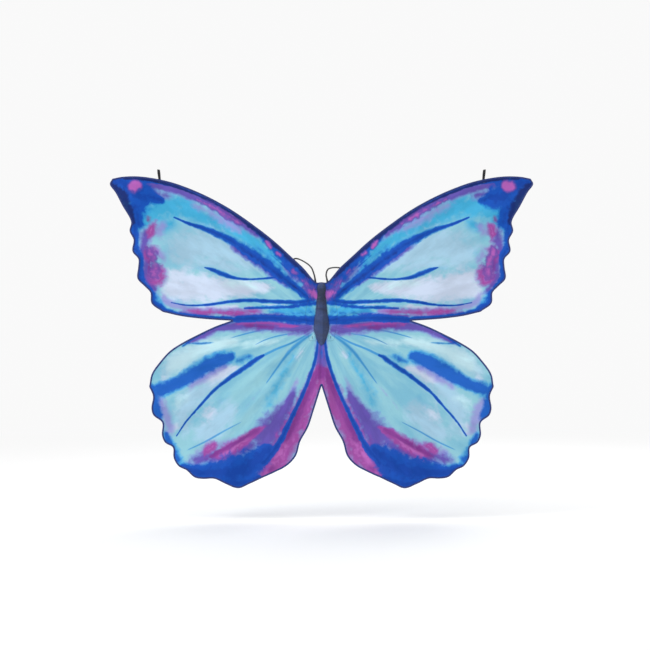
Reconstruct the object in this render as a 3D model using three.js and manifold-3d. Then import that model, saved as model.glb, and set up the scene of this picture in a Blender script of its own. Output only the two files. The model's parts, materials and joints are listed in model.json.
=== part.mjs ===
// Butterfly wings of printed satin, worn on the back with two shoulder straps and two hand loops.
// Millimetres. +Z is up, +Y points at the wearer, and -Y is the printed outside of the wings.
// The origin is on the back face of the yoke, the patch that lies between the wearer's shoulder blades.
import * as THREE from "three";
import { mergeVertices } from "three/addons/utils/BufferGeometryUtils.js";
import Module from "manifold-3d";

const wasm = await Module();
wasm.setup();

// Overall size.
const halfSpan = 686; // centre line to a forewing's tip
const riseAboveOrigin = 497; // origin to the top of the forewings
const dropBelowOrigin = 513; // origin to the lowest scallop of the hindwings

// Layers, from the wearer outwards.
const layerGap = 0.3;
const yokeThickness = 1;
const elasticThickness = 1.2;
const clothThickness = 0.6;
const tackThickness = 0.6;
const seamThickness = 0.5;

// Fold lines of the cloth, where one panel swings on the next.
const shoulderLine = 118; // centre line to the line that each wing folds about
const foldClearance = 0.5; // cloth to a fold line
const hemClearance = 2; // hem to a fold line

// Hem, a fold of tape over the cloth's edge.
const hemWidth = 4;
const hemTape = 0.5; // thickness of each side of the fold
const hemOverhang = 1.2; // hem past the cloth's edge
const hemRelief = 8; // hem end to the bottom of a notch
const splineSteps = 4; // samples between two points of an outline

// Body, a stuffed cover down the middle of the outside.
const bodyCrown = 0.42; // depth of the stuffed body over its half width
const bodyWall = 1;
const bodySegments = 24;
const bodyHeadHalf = 14; // half width of the head
const bodyProfile = [
  // half width, height
  [0, -50],
  [9, -42],
  [17.5, -22],
  [23.5, 0],
  [24, 20],
  [19.5, 52],
  [16, 86],
  [12, 118],
  [bodyHeadHalf, 138],
  [8.5, 150],
  [0, 153],
];
const seamWidth = 2;
const seamToNext = 0.6; // the body's seam to whatever lies beside it

// Yoke, the patch behind the body that takes the pull of the straps.
const yokeTop = 140;
const yokeBottom = -38;
const yokeWaist = 58; // height of its widest place
const yokeHalfTop = 30;
const yokeHalfWaist = 54;
const yokeHalfBottom = 43;
const yokeCorner = 5;
const stitchWidth = 1.2;
const stitchInset = 3;
const stitchToBody = 5;

// Shoulder straps, cut from flat elastic.
const strapWidth = 8;
const strapClearance = 1.2; // free strap to the cloth that it lies behind
const tabLength = 28; // sewn end of a strap
const strapHeadX = bodyHeadHalf + seamWidth + strapWidth / 2; // centre line to the upper sewn end
const strapHeadTop = 145;
const strapFootZ = -24; // height of the lower sewn end
const strapFootOut = 52; // centre line to its outer end
const tackWidth = 1.6;

// Hand loops, of the same elastic, standing on the leading edges.
const handLoopPlace = 526; // centre line to a hand loop
const handLoopLength = 30;
const handLoopDepth = 18;
const handLoopWidth = 8;
const handLoopLift = 2.5; // the loop's pivot over the cloth's edge
const handLoopLean = 16; // degrees from square to the edge, towards the tip
const handTabLength = 13;
const handTackDown = 8; // cloth's edge to the tack of a hand loop

// Pattern of one wing at the size below, as [from the centre line, height]. Each edge is a smooth curve.
const patternReach = 686;
const patternRise = 497;
const patternDrop = 513;
const neck = [0, 154];
const notch = [287, 31];
const tailCorner = [190, -478];
const crotch = [0, -178];
const foreTop = [678, 490];
const foreFoot = [515, 60];
const hindShoulder = [558, -184];
const leadingEdge = [
  neck,
  [17, 154],
  [60, 201],
  [100, 238],
  [150, 284],
  [200, 324],
  [300, 394],
  [400, 446],
  [500, 482],
  [590, 497],
  [645, 496],
  foreTop,
];
const foreTipEdge = [
  foreTop,
  [686, 474],
  [668, 447],
  [645, 404],
  [617, 351],
  [622, 322],
  [609, 293],
  [613, 256],
  [594, 231],
  [594, 205],
  [597, 168],
  [574, 143],
  [555, 122],
  [551, 87],
  foreFoot,
];
const foreLowerEdge = [foreFoot, [460, 47], [400, 39], [340, 34], notch];
const hindUpperEdge = [
  notch,
  [345, 10],
  [400, -16],
  [450, -42],
  [490, -68],
  [520, -100],
  [550, -143],
  hindShoulder,
];
const hindOuterEdge = [
  hindShoulder,
  [546, -214],
  [551, -254],
  [545, -276],
  [517, -300],
  [517, -342],
  [507, -365],
  [482, -381],
  [479, -415],
  [462, -442],
  [438, -454],
  [412, -477],
  [385, -482],
  [348, -482],
  [310, -499],
  [270, -513],
  [235, -499],
  tailCorner,
];
const hindInnerEdge = [
  tailCorner,
  [150, -460],
  [112, -439],
  [84, -408],
  [70, -362],
  [44, -314],
  [26, -260],
  [9, -206],
  crotch,
];

// Free part of each strap as it lies behind the wing, from its upper end to its lower end.
const strapRoutes = {
  left: [
    [22, 152],
    [24, 180],
    [34, 204],
    [60, 224],
    [86, 232],
    [101, 218],
    [104, 180],
    [102, 120],
    [93, 60],
    [78, 10],
    [58, -24],
  ],
  right: [
    [18, 152],
    [15, 178],
    [21, 197],
    [42, 203],
    [68, 199],
    [90, 180],
    [103, 140],
    [103, 90],
    [93, 35],
    [78, 0],
    [58, -24],
  ],
};

// Faces of the layers along y. The yoke's back face is at 0.
const yokeFrontY = -yokeThickness;
const tabBackY = yokeFrontY - layerGap;
const tabFrontY = tabBackY - elasticThickness;
const clothBackY = tabFrontY - layerGap;
const clothFrontY = clothBackY - clothThickness;
const clothMidY = (clothBackY + clothFrontY) / 2;
const hemBackY = clothBackY + layerGap + hemTape;
const hemFrontY = clothFrontY - layerGap - hemTape;
const outsideY = clothFrontY - layerGap; // the body, its seam and the tacks start here
const strapMidY = clothBackY + strapClearance + strapWidth / 2;
const cutY = 100; // reach of the cutting blocks

const satin = new THREE.MeshStandardMaterial({ color: 0x6fb9dc, roughness: 0.45, metalness: 0 });
const hemTapeCloth = new THREE.MeshStandardMaterial({ color: 0x232a63, roughness: 0.7, metalness: 0 });
const bodySatin = new THREE.MeshStandardMaterial({ color: 0x333c5c, roughness: 0.45, metalness: 0 });
const wadding = new THREE.MeshStandardMaterial({ color: 0xe8e8e4, roughness: 0.95, metalness: 0 });
const yokeCloth = new THREE.MeshStandardMaterial({ color: 0x8fc4dc, roughness: 0.6, metalness: 0 });
const elastic = new THREE.MeshStandardMaterial({ color: 0x17171a, roughness: 0.8, metalness: 0 });
const thread = new THREE.MeshStandardMaterial({ color: 0x2a3160, roughness: 0.7, metalness: 0 });

const wings = new THREE.Group();
const sides = [
  { name: "left", way: -1 },
  { name: "right", way: 1 },
];

function addPiece(name, geometry, material) {
  const piece = new THREE.Mesh(geometry, material.clone());
  piece.name = name;
  wings.add(piece);
}

// A geometry as a solid that can be cut.
function solidOf(geometry) {
  const bare = geometry.clone();
  bare.deleteAttribute("normal");
  bare.deleteAttribute("uv");
  const merged = mergeVertices(bare);
  const corners = merged.index.array;
  const kept = [];
  for (let i = 0; i < corners.length; i += 3) {
    const [a, b, c] = [corners[i], corners[i + 1], corners[i + 2]];
    if (a !== b && b !== c && c !== a) {
      kept.push(a, b, c);
    }
  }
  return new wasm.Manifold(
    new wasm.Mesh({
      numProp: 3,
      vertProperties: new Float32Array(merged.attributes.position.array),
      triVerts: new Uint32Array(kept),
    }),
  );
}

function geometryOf(solid) {
  const mesh = solid.getMesh();
  const geometry = new THREE.BufferGeometry();
  geometry.setAttribute("position", new THREE.BufferAttribute(mesh.vertProperties, 3));
  geometry.setIndex(new THREE.BufferAttribute(mesh.triVerts, 1));
  return geometry;
}

// An outline of [x, z] points made into a plate between two values of y.
function plate(outline, backY, frontY) {
  const geometry = new THREE.ExtrudeGeometry(
    new THREE.Shape(outline.map(([x, z]) => new THREE.Vector2(x, z))),
    { depth: backY - frontY, bevelEnabled: false },
  );
  return solidOf(geometry.rotateX(Math.PI / 2).translate(0, backY, 0));
}

function rectangle(x0, z0, x1, z1) {
  return [
    [x0, z0],
    [x1, z0],
    [x1, z1],
    [x0, z1],
  ];
}

// A pattern point at the size that is set at the top.
function scaled([x, z]) {
  const heightScale = z > 0 ? riseAboveOrigin / patternRise : dropBelowOrigin / patternDrop;
  return [(x * halfSpan) / patternReach, z * heightScale];
}

// A smooth run of [x, z] points through the given ones.
function smooth(points, steps = splineSteps) {
  const curve = new THREE.CatmullRomCurve3(
    points.map(([x, z]) => new THREE.Vector3(x, 0, z)),
    false,
    "centripetal",
  );
  return curve.getPoints((points.length - 1) * steps).map((p) => [p.x, p.z]);
}

function joined(...runs) {
  return runs.flatMap((run, i) => (i ? run.slice(1) : run));
}

function onSide(outline, way) {
  return outline.map(([x, z]) => [way * x, z]);
}

// A run of points moved sideways, to the right of the way it is walked.
function shifted(run, distance, closed = false) {
  const last = run.length - 1;
  return run.map(([x, z], i) => {
    const [ax, az] = run[i > 0 ? i - 1 : closed ? last : 0];
    const [bx, bz] = run[i < last ? i + 1 : closed ? 0 : last];
    const length = Math.hypot(bx - ax, bz - az);
    return [x + ((bz - az) / length) * distance, z - ((bx - ax) / length) * distance];
  });
}

// A strip along a run of points, with its left and right widths.
function strip(run, left, right) {
  return [...shifted(run, -left), ...shifted(run, right).reverse()];
}

// Edges of the right wing, all walked with the cloth on the right.
const topEdge = smooth(leadingEdge.map(scaled));
const tipEdge = smooth(foreTipEdge.map(scaled));
const underEdge = smooth(foreLowerEdge.map(scaled));
const foreEdge = joined(topEdge, tipEdge, underEdge);
const hindEdge = joined(smooth(hindUpperEdge.map(scaled)), smooth(hindOuterEdge.map(scaled)));
const tailEdge = smooth(hindInnerEdge.map(scaled));
const wingOutline = joined(foreEdge, hindEdge, tailEdge);
const notchPoint = scaled(notch);
const tailPoint = scaled(tailCorner);
const crotchPoint = scaled(crotch);
const foldLength = Math.hypot(notchPoint[0] - tailPoint[0], notchPoint[1] - tailPoint[1]);
const foldUp = [(notchPoint[0] - tailPoint[0]) / foldLength, (notchPoint[1] - tailPoint[1]) / foldLength];
const foldOut = [foldUp[1], -foldUp[0]];

// Everything beyond the hindwing's fold line and below its notch, with both lines moved out and up.
function hindBlock(out, up, way) {
  const reach = 2 * (halfSpan + riseAboveOrigin + dropBelowOrigin);
  const at = (s, t) => [
    notchPoint[0] + foldOut[0] * s + foldUp[0] * t,
    notchPoint[1] + foldOut[1] * s + foldUp[1] * t,
  ];
  const outline = [at(out, up), at(reach, up), at(reach, -reach), at(out, -reach)];
  return plate(onSide(outline, way), cutY, -cutY);
}

// Everything beyond the shoulder line of one side.
function sideBlock(clearance, way) {
  const reach = 2 * (halfSpan + riseAboveOrigin + dropBelowOrigin);
  const outline = rectangle(shoulderLine + clearance, -reach, reach, reach);
  return plate(onSide(outline, way), cutY, -cutY);
}

function centreBlock(clearance) {
  const half = shoulderLine - clearance;
  const reach = 2 * (riseAboveOrigin + dropBelowOrigin);
  return plate(rectangle(-half, -reach, half, reach), cutY, -cutY);
}

const keep = {
  centre: (solid, clearance) => solid.intersect(centreBlock(clearance)),
  wing: (solid, clearance, way) =>
    solid
      .intersect(sideBlock(clearance, way))
      .subtract(hindBlock(-clearance, clearance / 2, way)),
  hind: (solid, clearance, way) => solid.intersect(hindBlock(clearance, -clearance, way)),
};

function addCloth() {
  const otherHalf = onSide(wingOutline, -1).reverse();
  const whole = plate([...wingOutline, ...otherHalf.slice(1, -1)], clothBackY, clothFrontY);
  addPiece("centre_panel", geometryOf(keep.centre(whole, foldClearance)), satin);
  for (const { name, way } of sides) {
    const cloth = plate(onSide(wingOutline, way), clothBackY, clothFrontY);
    addPiece(`${name}_wing_panel`, geometryOf(keep.wing(cloth, foldClearance, way)), satin);
    addPiece(`${name}_hindwing_panel`, geometryOf(keep.hind(cloth, foldClearance, way)), satin);
  }
}

// A short post that clears the hem away from the bottom of a notch.
function reliefPost([x, z], way) {
  const post = new THREE.CylinderGeometry(hemRelief, hemRelief, 2 * cutY, 24);
  return solidOf(post.translate(way * x, 0, z));
}

// The hem's tape folded over one edge of the cloth.
function hemAlong(edge, way) {
  const outside = onSide(strip(edge, hemOverhang, hemWidth), way);
  const inside = onSide(strip(edge, layerGap, hemWidth + 1), way);
  return plate(outside, hemBackY, hemFrontY)
    .subtract(plate(inside, clothBackY + layerGap, clothFrontY - layerGap))
    .subtract(reliefPost(notchPoint, way))
    .subtract(reliefPost(crotchPoint, way));
}

function addHems() {
  const bodyHalf = bodyHeadHalf + seamWidth + seamToNext;
  const aroundBody = plate(rectangle(-bodyHalf, 0, bodyHalf, 2 * yokeTop), cutY, -cutY);
  for (const { name, way } of sides) {
    const fore = hemAlong(foreEdge, way);
    const hind = hemAlong(hindEdge, way);
    const tail = hemAlong(tailEdge, way);
    const parts = {
      neck_hem: keep.centre(fore, hemClearance).subtract(aroundBody),
      forewing_hem: keep.wing(fore, hemClearance, way),
      hindwing_hem: keep.hind(hind, hemClearance, way),
      inner_hem: keep.wing(tail, hemClearance, way),
      crotch_hem: keep.centre(tail, hemClearance),
    };
    for (const [part, solid] of Object.entries(parts)) {
      addPiece(`${name}_${part}`, geometryOf(solid), hemTapeCloth);
    }
  }
}

// The body's outline swept into a round form and flattened, with its axis on the outside of the cloth.
function bodyForm(inset, depth) {
  const ends = bodyProfile.map(([half, z], i) => [
    Math.max(half - inset, 0),
    i === 0 ? z + inset : i === bodyProfile.length - 1 ? z - inset : z,
  ]);
  const curve = smooth(ends, 3).map(([half, z]) => new THREE.Vector2(Math.max(half, 0), z));
  const form = new THREE.LatheGeometry(curve, bodySegments);
  return solidOf(form.rotateX(Math.PI / 2).scale(1, depth, 1).translate(0, outsideY, 0));
}

function addBody() {
  const reach = 2 * yokeTop;
  const front = plate(rectangle(-reach, -reach, reach, reach), outsideY, outsideY - cutY);
  const cover = bodyForm(0, bodyCrown).subtract(bodyForm(bodyWall, bodyCrown * 0.96));
  const stuffing = bodyForm(bodyWall + layerGap, bodyCrown * 0.93);
  addPiece("body_cover", geometryOf(cover.intersect(front)), bodySatin);
  addPiece("body_wadding", geometryOf(stuffing.intersect(front)), wadding);
  const rightEdge = smooth(bodyProfile, 3).reverse();
  const outline = [...rightEdge, ...onSide(rightEdge, -1).reverse().slice(1, -1)];
  const seam = plate(shifted(outline, -layerGap - seamWidth, true), outsideY, outsideY - seamThickness)
    .subtract(plate(shifted(outline, -layerGap, true), cutY, -cutY));
  addPiece("body_seam", geometryOf(seam), thread);
}

// The right side of the yoke, from its top to its bottom, moved in by an inset.
function yokeSide(inset) {
  return smooth([
    [yokeHalfTop - inset, yokeTop - yokeCorner],
    [(yokeHalfTop + yokeHalfWaist) / 2 + 3 - inset, (yokeTop + yokeWaist) / 2],
    [yokeHalfWaist - inset, yokeWaist],
    [(yokeHalfWaist + yokeHalfBottom) / 2 + 2 - inset, (yokeWaist + yokeBottom) / 2],
    [yokeHalfBottom - inset, yokeBottom + yokeCorner],
  ]);
}

function addYoke() {
  const right = [
    [yokeHalfTop - yokeCorner, yokeTop],
    ...yokeSide(0),
    [yokeHalfBottom - yokeCorner, yokeBottom],
  ];
  const outline = [...right, ...onSide(right, -1).reverse()];
  addPiece("yoke", geometryOf(plate(outline, 0, yokeFrontY)), yokeCloth);
  // Its stitching shows on the outside, beside the body.
  const headHalf = bodyHeadHalf + stitchToBody;
  const tailHalf = bodyProfile[2][0];
  const run = [
    [headHalf, yokeTop - stitchInset],
    [yokeHalfTop - stitchInset - 2, yokeTop - stitchInset],
    ...yokeSide(stitchInset),
    [yokeHalfBottom - stitchInset, yokeBottom + stitchInset],
    [tailHalf, yokeBottom + stitchInset],
  ];
  const outside = strip(run, stitchWidth / 2, stitchWidth / 2);
  for (const { name, way } of sides) {
    const stitches = plate(onSide(outside, way), outsideY, outsideY - seamThickness);
    addPiece(`${name}_yoke_stitching`, geometryOf(stitches), thread);
  }
}

// The two sewn ends of each shoulder strap, between the yoke and the cloth, with their bar tacks.
function addStrapEnds() {
  const half = strapWidth / 2;
  const headMid = strapHeadTop - tabLength / 2;
  const footMid = strapFootOut - tabLength / 2 - strapWidth;
  const head = rectangle(strapHeadX - half, strapHeadTop - tabLength, strapHeadX + half, strapHeadTop);
  const foot = rectangle(strapFootOut - tabLength, strapFootZ - half, strapFootOut, strapFootZ + half);
  const tackHalf = half - layerGap;
  const headTack = rectangle(
    strapHeadX - tackHalf,
    headMid - tackWidth / 2,
    strapHeadX + tackHalf,
    headMid + tackWidth / 2,
  );
  const footTack = rectangle(
    footMid - tackWidth / 2,
    strapFootZ - tackHalf,
    footMid + tackWidth / 2,
    strapFootZ + tackHalf,
  );
  for (const { name, way } of sides) {
    addPiece(`${name}_strap_head`, geometryOf(plate(onSide(head, way), tabBackY, tabFrontY)), elastic);
    addPiece(`${name}_strap_foot`, geometryOf(plate(onSide(foot, way), tabBackY, tabFrontY)), elastic);
    const headSolid = plate(onSide(headTack, way), outsideY, outsideY - tackThickness);
    const footSolid = plate(onSide(footTack, way), outsideY, outsideY - tackThickness);
    addPiece(`${name}_head_tack`, geometryOf(headSolid), thread);
    addPiece(`${name}_foot_tack`, geometryOf(footSolid), thread);
  }
}

// The free part of each strap stands on its edge behind the wing.
function addStraps() {
  for (const { name, way } of sides) {
    const run = smooth(strapRoutes[name], 6);
    const band = onSide(strip(run, elasticThickness / 2, elasticThickness / 2), way);
    const solid = plate(band, strapMidY + strapWidth / 2, strapMidY - strapWidth / 2);
    addPiece(`${name}_strap`, geometryOf(solid), elastic);
  }
}

// Point of the leading edge at a hand loop, and the edge's direction there.
function handLoopSeat() {
  const next = topEdge.findIndex(([x]) => x > handLoopPlace);
  const [ax, az] = topEdge[next - 1];
  const [bx, bz] = topEdge[next];
  const share = (handLoopPlace - ax) / (bx - ax);
  const length = Math.hypot(bx - ax, bz - az);
  return {
    z: az + (bz - az) * share,
    along: [(bx - ax) / length, (bz - az) / length],
  };
}

// A drop-shaped ring with its point at the pivot.
function loopShape() {
  const wall = elasticThickness;
  const drop = (path, bottom, top, depth) => {
    path.moveTo(0, bottom);
    path.bezierCurveTo(0.35 * depth, 0.45 * top, 0.97 * depth, top, 0, top);
    path.bezierCurveTo(-0.97 * depth, top, -0.35 * depth, 0.45 * top, 0, bottom);
    return path;
  };
  const ring = drop(new THREE.Shape(), -wall / 2, handLoopLength, handLoopDepth);
  ring.holes.push(drop(new THREE.Path(), 2.4 * wall, handLoopLength - wall, handLoopDepth - 2.1 * wall));
  return ring;
}

// One hand loop's own frame on the leading edge: its seat, and the ways along and square to the edge.
function handLoopFrame(way) {
  const { z, along } = handLoopSeat();
  const edgeWay = new THREE.Vector3(along[0], 0, way * along[1]);
  const back = new THREE.Vector3(0, 1, 0);
  const up = edgeWay.clone().cross(back);
  const seat = new THREE.Vector3(way * handLoopPlace, 0, z);
  return { edgeWay, back, up, seat };
}

function addHandTabs() {
  const half = handLoopWidth / 2;
  const tackHalf = half - layerGap;
  const tabFront = hemBackY + layerGap;
  for (const { name, way } of sides) {
    const { edgeWay, up, seat } = handLoopFrame(way);
    const at = ([s, t]) => {
      const point = seat.clone().addScaledVector(edgeWay, s).addScaledVector(up, t);
      return [point.x, point.z];
    };
    const tab = rectangle(-half, -handTabLength, half, 0.6).map(at);
    const tack = rectangle(-tackHalf, -handTackDown - tackWidth, tackHalf, -handTackDown).map(at);
    const tabSolid = plate(tab, tabFront + elasticThickness, tabFront);
    addPiece(`${name}_hand_loop_tab`, geometryOf(tabSolid), elastic);
    addPiece(`${name}_hand_tack`, geometryOf(plate(tack, outsideY, outsideY - tackThickness)), thread);
  }
}

function addHandLoops() {
  const lean = Math.tan((handLoopLean * Math.PI) / 180);
  for (const { name, way } of sides) {
    const { edgeWay, back, up, seat } = handLoopFrame(way);
    const ring = new THREE.ExtrudeGeometry(loopShape(), {
      depth: handLoopWidth,
      bevelEnabled: false,
      curveSegments: 10,
    });
    const tilted = up.clone().addScaledVector(edgeWay, way * lean);
    const pivot = seat.clone().addScaledVector(up, handLoopLift).setY(clothMidY);
    const place = new THREE.Matrix4().makeBasis(back, tilted, edgeWay);
    place.setPosition(pivot.addScaledVector(edgeWay, -handLoopWidth / 2));
    addPiece(`${name}_hand_loop`, geometryOf(solidOf(ring.applyMatrix4(place))), elastic);
  }
}

addCloth();
addHems();
addBody();
addYoke();
addStrapEnds();
addStraps();
addHandTabs();
addHandLoops();

export default wings;
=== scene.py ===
import json
import math

import bmesh
import bpy
import numpy as np
from mathutils import Matrix, Vector, geometry, kdtree


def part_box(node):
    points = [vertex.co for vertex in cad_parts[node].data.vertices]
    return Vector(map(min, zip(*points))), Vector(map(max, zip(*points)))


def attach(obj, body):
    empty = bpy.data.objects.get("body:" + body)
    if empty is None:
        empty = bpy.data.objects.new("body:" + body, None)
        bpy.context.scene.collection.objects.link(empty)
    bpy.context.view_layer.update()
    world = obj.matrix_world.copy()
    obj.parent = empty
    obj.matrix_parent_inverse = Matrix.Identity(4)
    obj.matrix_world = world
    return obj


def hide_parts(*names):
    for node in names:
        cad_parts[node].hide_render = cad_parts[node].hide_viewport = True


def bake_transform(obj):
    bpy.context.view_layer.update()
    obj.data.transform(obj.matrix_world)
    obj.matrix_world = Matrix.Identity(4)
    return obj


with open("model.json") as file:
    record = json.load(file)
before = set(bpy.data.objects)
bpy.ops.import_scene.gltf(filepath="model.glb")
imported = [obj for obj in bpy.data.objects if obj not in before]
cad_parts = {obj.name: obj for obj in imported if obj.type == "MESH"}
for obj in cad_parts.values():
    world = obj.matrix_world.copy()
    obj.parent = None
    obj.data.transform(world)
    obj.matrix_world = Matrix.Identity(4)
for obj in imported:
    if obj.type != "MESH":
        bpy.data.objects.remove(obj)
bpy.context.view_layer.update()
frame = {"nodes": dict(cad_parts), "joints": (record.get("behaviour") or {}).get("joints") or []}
nodes = frame["nodes"]
joints = {joint["name"]: joint for joint in frame["joints"]}
mm = 0.001
sides = (("left", -1), ("right", 1))
print("frame loaded,", len(nodes), "CAD nodes")


def linear(hexColour):  # sRGB hex to linear RGBA
    parts = [int(hexColour[i:i + 2], 16) / 255 for i in (1, 3, 5)]
    return [p / 12.92 if p <= 0.04045 else ((p + 0.055) / 1.055) ** 2.4 for p in parts] + [1.0]


def plug(node, inputs):  # a node stands for its output of the input's name, or Fac, or else its first
    for key, value in inputs.items():
        if isinstance(value, bpy.types.Node):
            value = value.outputs.get(str(key)) or value.outputs.get("Fac") or value.outputs[0]
        if isinstance(value, bpy.types.NodeSocket):
            node.id_data.links.new(value, node.inputs[key])
        else:
            node.inputs[key].default_value = value


def addNode(tree, kind, inputs=None, **settings):
    node = tree.nodes.new("ShaderNode" + kind)
    for key, value in settings.items():
        setattr(node, key, value)
    plug(node, inputs or {})
    return node


def newMaterial(name, sockets):
    material = bpy.data.materials.new(name)
    material.use_nodes = True
    tree = material.node_tree
    tree.nodes.clear()
    shader = addNode(tree, "BsdfPrincipled", sockets)
    addNode(tree, "OutputMaterial", {"Surface": shader})
    return material, tree, shader


def addObject(name, data):
    made = bpy.data.objects.new(name, data)
    bpy.context.scene.collection.objects.link(made)
    return made


def newPiece(name, points, faces, material):
    mesh = bpy.data.meshes.new(name)
    mesh.from_pydata([tuple(p) for p in points], [], [tuple(f) for f in faces])
    mesh.validate()
    piece = addObject(name, mesh)
    mesh.materials.append(material)
    mesh.polygons.foreach_set("use_smooth", [True] * len(mesh.polygons))
    return piece


def pick(*pieces):  # selects only these, the first one active
    bpy.ops.object.select_all(action="DESELECT")
    for piece in pieces:
        piece.select_set(True)
    bpy.context.view_layer.objects.active = pieces[0]


def setAttribute(piece, name, values, kind="FLOAT"):
    attribute = piece.data.attributes.new(name, kind, "POINT")
    key = "value" if kind == "FLOAT" else "vector"
    attribute.data.foreach_set(key, np.asarray(values, np.float32).ravel())


def vertexPlaces(piece):
    places = np.zeros(len(piece.data.vertices) * 3)
    piece.data.vertices.foreach_get("co", places)
    return places.reshape(-1, 3)


def flatPattern(piece):  # where each point lies in the uncut cloth
    places = vertexPlaces(piece)
    setAttribute(piece, "flat", np.stack([places[:, 0], places[:, 2], 0 * places[:, 0]], 1), "FLOAT_VECTOR")
    return places


def unit(ways):
    return ways / np.linalg.norm(ways, axis=1)[:, None]


def smoothStep(low, high, value):
    t = np.clip((value - low) / (high - low), 0, 1)
    return t * t * (3 - 2 * t)


def curveThrough(points, step, closed=False):
    # centripetal Catmull-Rom through points of any size, resampled evenly
    pts = np.asarray(points, float)
    if len(pts) == 2:
        dense = pts
    else:
        if closed:
            padded = np.vstack([pts[-1], pts, pts[0], pts[1]])
        else:
            padded = np.vstack([2 * pts[0] - pts[1], pts, 2 * pts[-1] - pts[-2]])
        dense = []
        for a, b, c, d in zip(padded, padded[1:], padded[2:], padded[3:]):
            gaps = [max(np.linalg.norm(q - p), 1e-9) ** 0.5 for p, q in ((a, b), (b, c), (c, d))]
            t0, t1, t2, t3 = np.r_[0, np.cumsum(gaps)]
            for t in np.linspace(t1, t2, 16, endpoint=False):
                ab = ((t1 - t) * a + (t - t0) * b) / (t1 - t0)
                bc = ((t2 - t) * b + (t - t1) * c) / (t2 - t1)
                cd = ((t3 - t) * c + (t - t2) * d) / (t3 - t2)
                abc = ((t2 - t) * ab + (t - t0) * bc) / (t2 - t0)
                bcd = ((t3 - t) * bc + (t - t1) * cd) / (t3 - t1)
                dense.append(((t2 - t) * abc + (t - t1) * bcd) / (t2 - t1))
        dense = np.array(dense + [pts[0] if closed else pts[-1]])
    lengths = lengthsAlong(dense)
    count = max(int(round(lengths[-1] / step)), 1)
    at = np.linspace(0, lengths[-1], count + 1)
    even = np.stack([np.interp(at, lengths, dense[:, k]) for k in range(dense.shape[1])], 1)
    return even[:-1] if closed else even


def lengthsAlong(points):
    return np.r_[0, np.cumsum(np.linalg.norm(np.diff(points, axis=0), axis=1))]


# Camera and lights

view = {"distance": 4.6, "frameWidth": 2.1125, "aimX": 0.0114, "aimZ": 0.0162}
cameraData = bpy.data.cameras.new("camera")
cameraData.sensor_width = 36
cameraData.lens = 36 * view["distance"] / view["frameWidth"]
camera = addObject("camera", cameraData)
camera.location = (view["aimX"], -view["distance"], view["aimZ"])
camera.rotation_euler = (math.radians(90), 0, 0)
bpy.context.scene.camera = camera

lights = {
    # name: place, size, watts
    "keySoftbox": ((-3.0, -2.0, 2.6), 1.4, 52),
    "fillSoftbox": ((2.8, -3.2, 0.8), 2.4, 8),
    "backSoftbox": ((1.6, 3.2, 2.2), 2.2, 36),
    "overheadSoftbox": ((0.0, 0.0, 6.5), 16.0, 740),
}
for name, (place, size, watts) in lights.items():
    lightData = bpy.data.lights.new(name, "AREA")
    lightData.size = size
    lightData.energy = watts
    light = addObject(name, lightData)
    light.location = place
    light.rotation_euler = (-Vector(place)).to_track_quat("-Z", "Y").to_euler()

whites = {"room": 0.38, "backdrop": 0.95}  # light that the room gives, and how white it looks
world = bpy.data.worlds.new("whiteRoom")
bpy.context.scene.world = world
world.use_nodes = True
roomTree = world.node_tree
roomTree.nodes.clear()
roomLight = addNode(roomTree, "Background", {"Color": linear("#ffffff"), "Strength": whites["room"]})
backdrop = addNode(roomTree, "Background", {"Color": linear("#ffffff"), "Strength": whites["backdrop"]})
seen = addNode(roomTree, "LightPath")
room = addNode(roomTree, "MixShader", {0: seen.outputs["Is Camera Ray"], 1: roomLight, 2: backdrop})
addNode(roomTree, "OutputWorld", {"Surface": room})
bpy.context.scene.view_settings.view_transform = "Standard"

floorSize = {"side": 24, "height": -0.62, "fadeFrom": 1.1, "fadeTo": 4.2}
paintedFloor, tree, shader = newMaterial("matte_white_floor_paint",
                                         {"Base Color": linear("#f8f8f8"), "Roughness": 0.9})
# the far floor is as white as the backdrop, so no horizon shows
floorPlace = addNode(tree, "TexCoord")
floorReach = addNode(tree, "VectorMath", {0: floorPlace.outputs["Object"]}, operation="LENGTH")
farAway = addNode(tree, "MapRange", {"Value": floorReach, "From Min": floorSize["fadeFrom"],
                                     "From Max": floorSize["fadeTo"]}, interpolation_type="SMOOTHSTEP")
floorSeen = addNode(tree, "LightPath")
whiteShare = addNode(tree, "Math", {0: farAway, 1: floorSeen.outputs["Is Camera Ray"]}, operation="MULTIPLY")
farWhite = addNode(tree, "Emission", {"Color": linear("#ffffff"), "Strength": whites["backdrop"]})
floorMix = addNode(tree, "MixShader", {0: whiteShare, 1: shader, 2: farWhite})
plug(next(n for n in tree.nodes if n.type == "OUTPUT_MATERIAL"), {"Surface": floorMix})
bpy.ops.object.select_all(action="DESELECT")
bpy.ops.mesh.primitive_plane_add(size=floorSize["side"], location=(0, 0, floorSize["height"]))
floor = bpy.context.object
floor.name = "floor"
floor.data.transform(floor.matrix_world)
floor.matrix_world = Matrix.Identity(4)
floor.data.materials.append(paintedFloor)
print("camera, lights and floor ready")


# Fold lines and outlines, taken from the CAD panels

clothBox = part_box("centre_panel")
clothFront = clothBox[0].y
clothMid = (clothBox[0].y + clothBox[1].y) / 2
# how close a CAD point lies to a fold line, the notch and the tail to be moved onto it, and the least step
reachOf = {"fold": 0.0008, "notch": 0.0035, "tail": 0.0025, "step": 0.0004}
cornerTurn = math.radians(38)
shoulderX = joints["right_wing_fold"]["pos_m"][0]
swing = joints["right_hindwing_swing"]
notch = np.array([swing["pos_m"][0], swing["pos_m"][2]])
foldUp = np.array([swing["axis"][0], swing["axis"][2]])
foldUp /= np.linalg.norm(foldUp)


def middleOf(name):  # centre of a CAD node's box
    low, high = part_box(name)
    return (low + high) / 2


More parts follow.
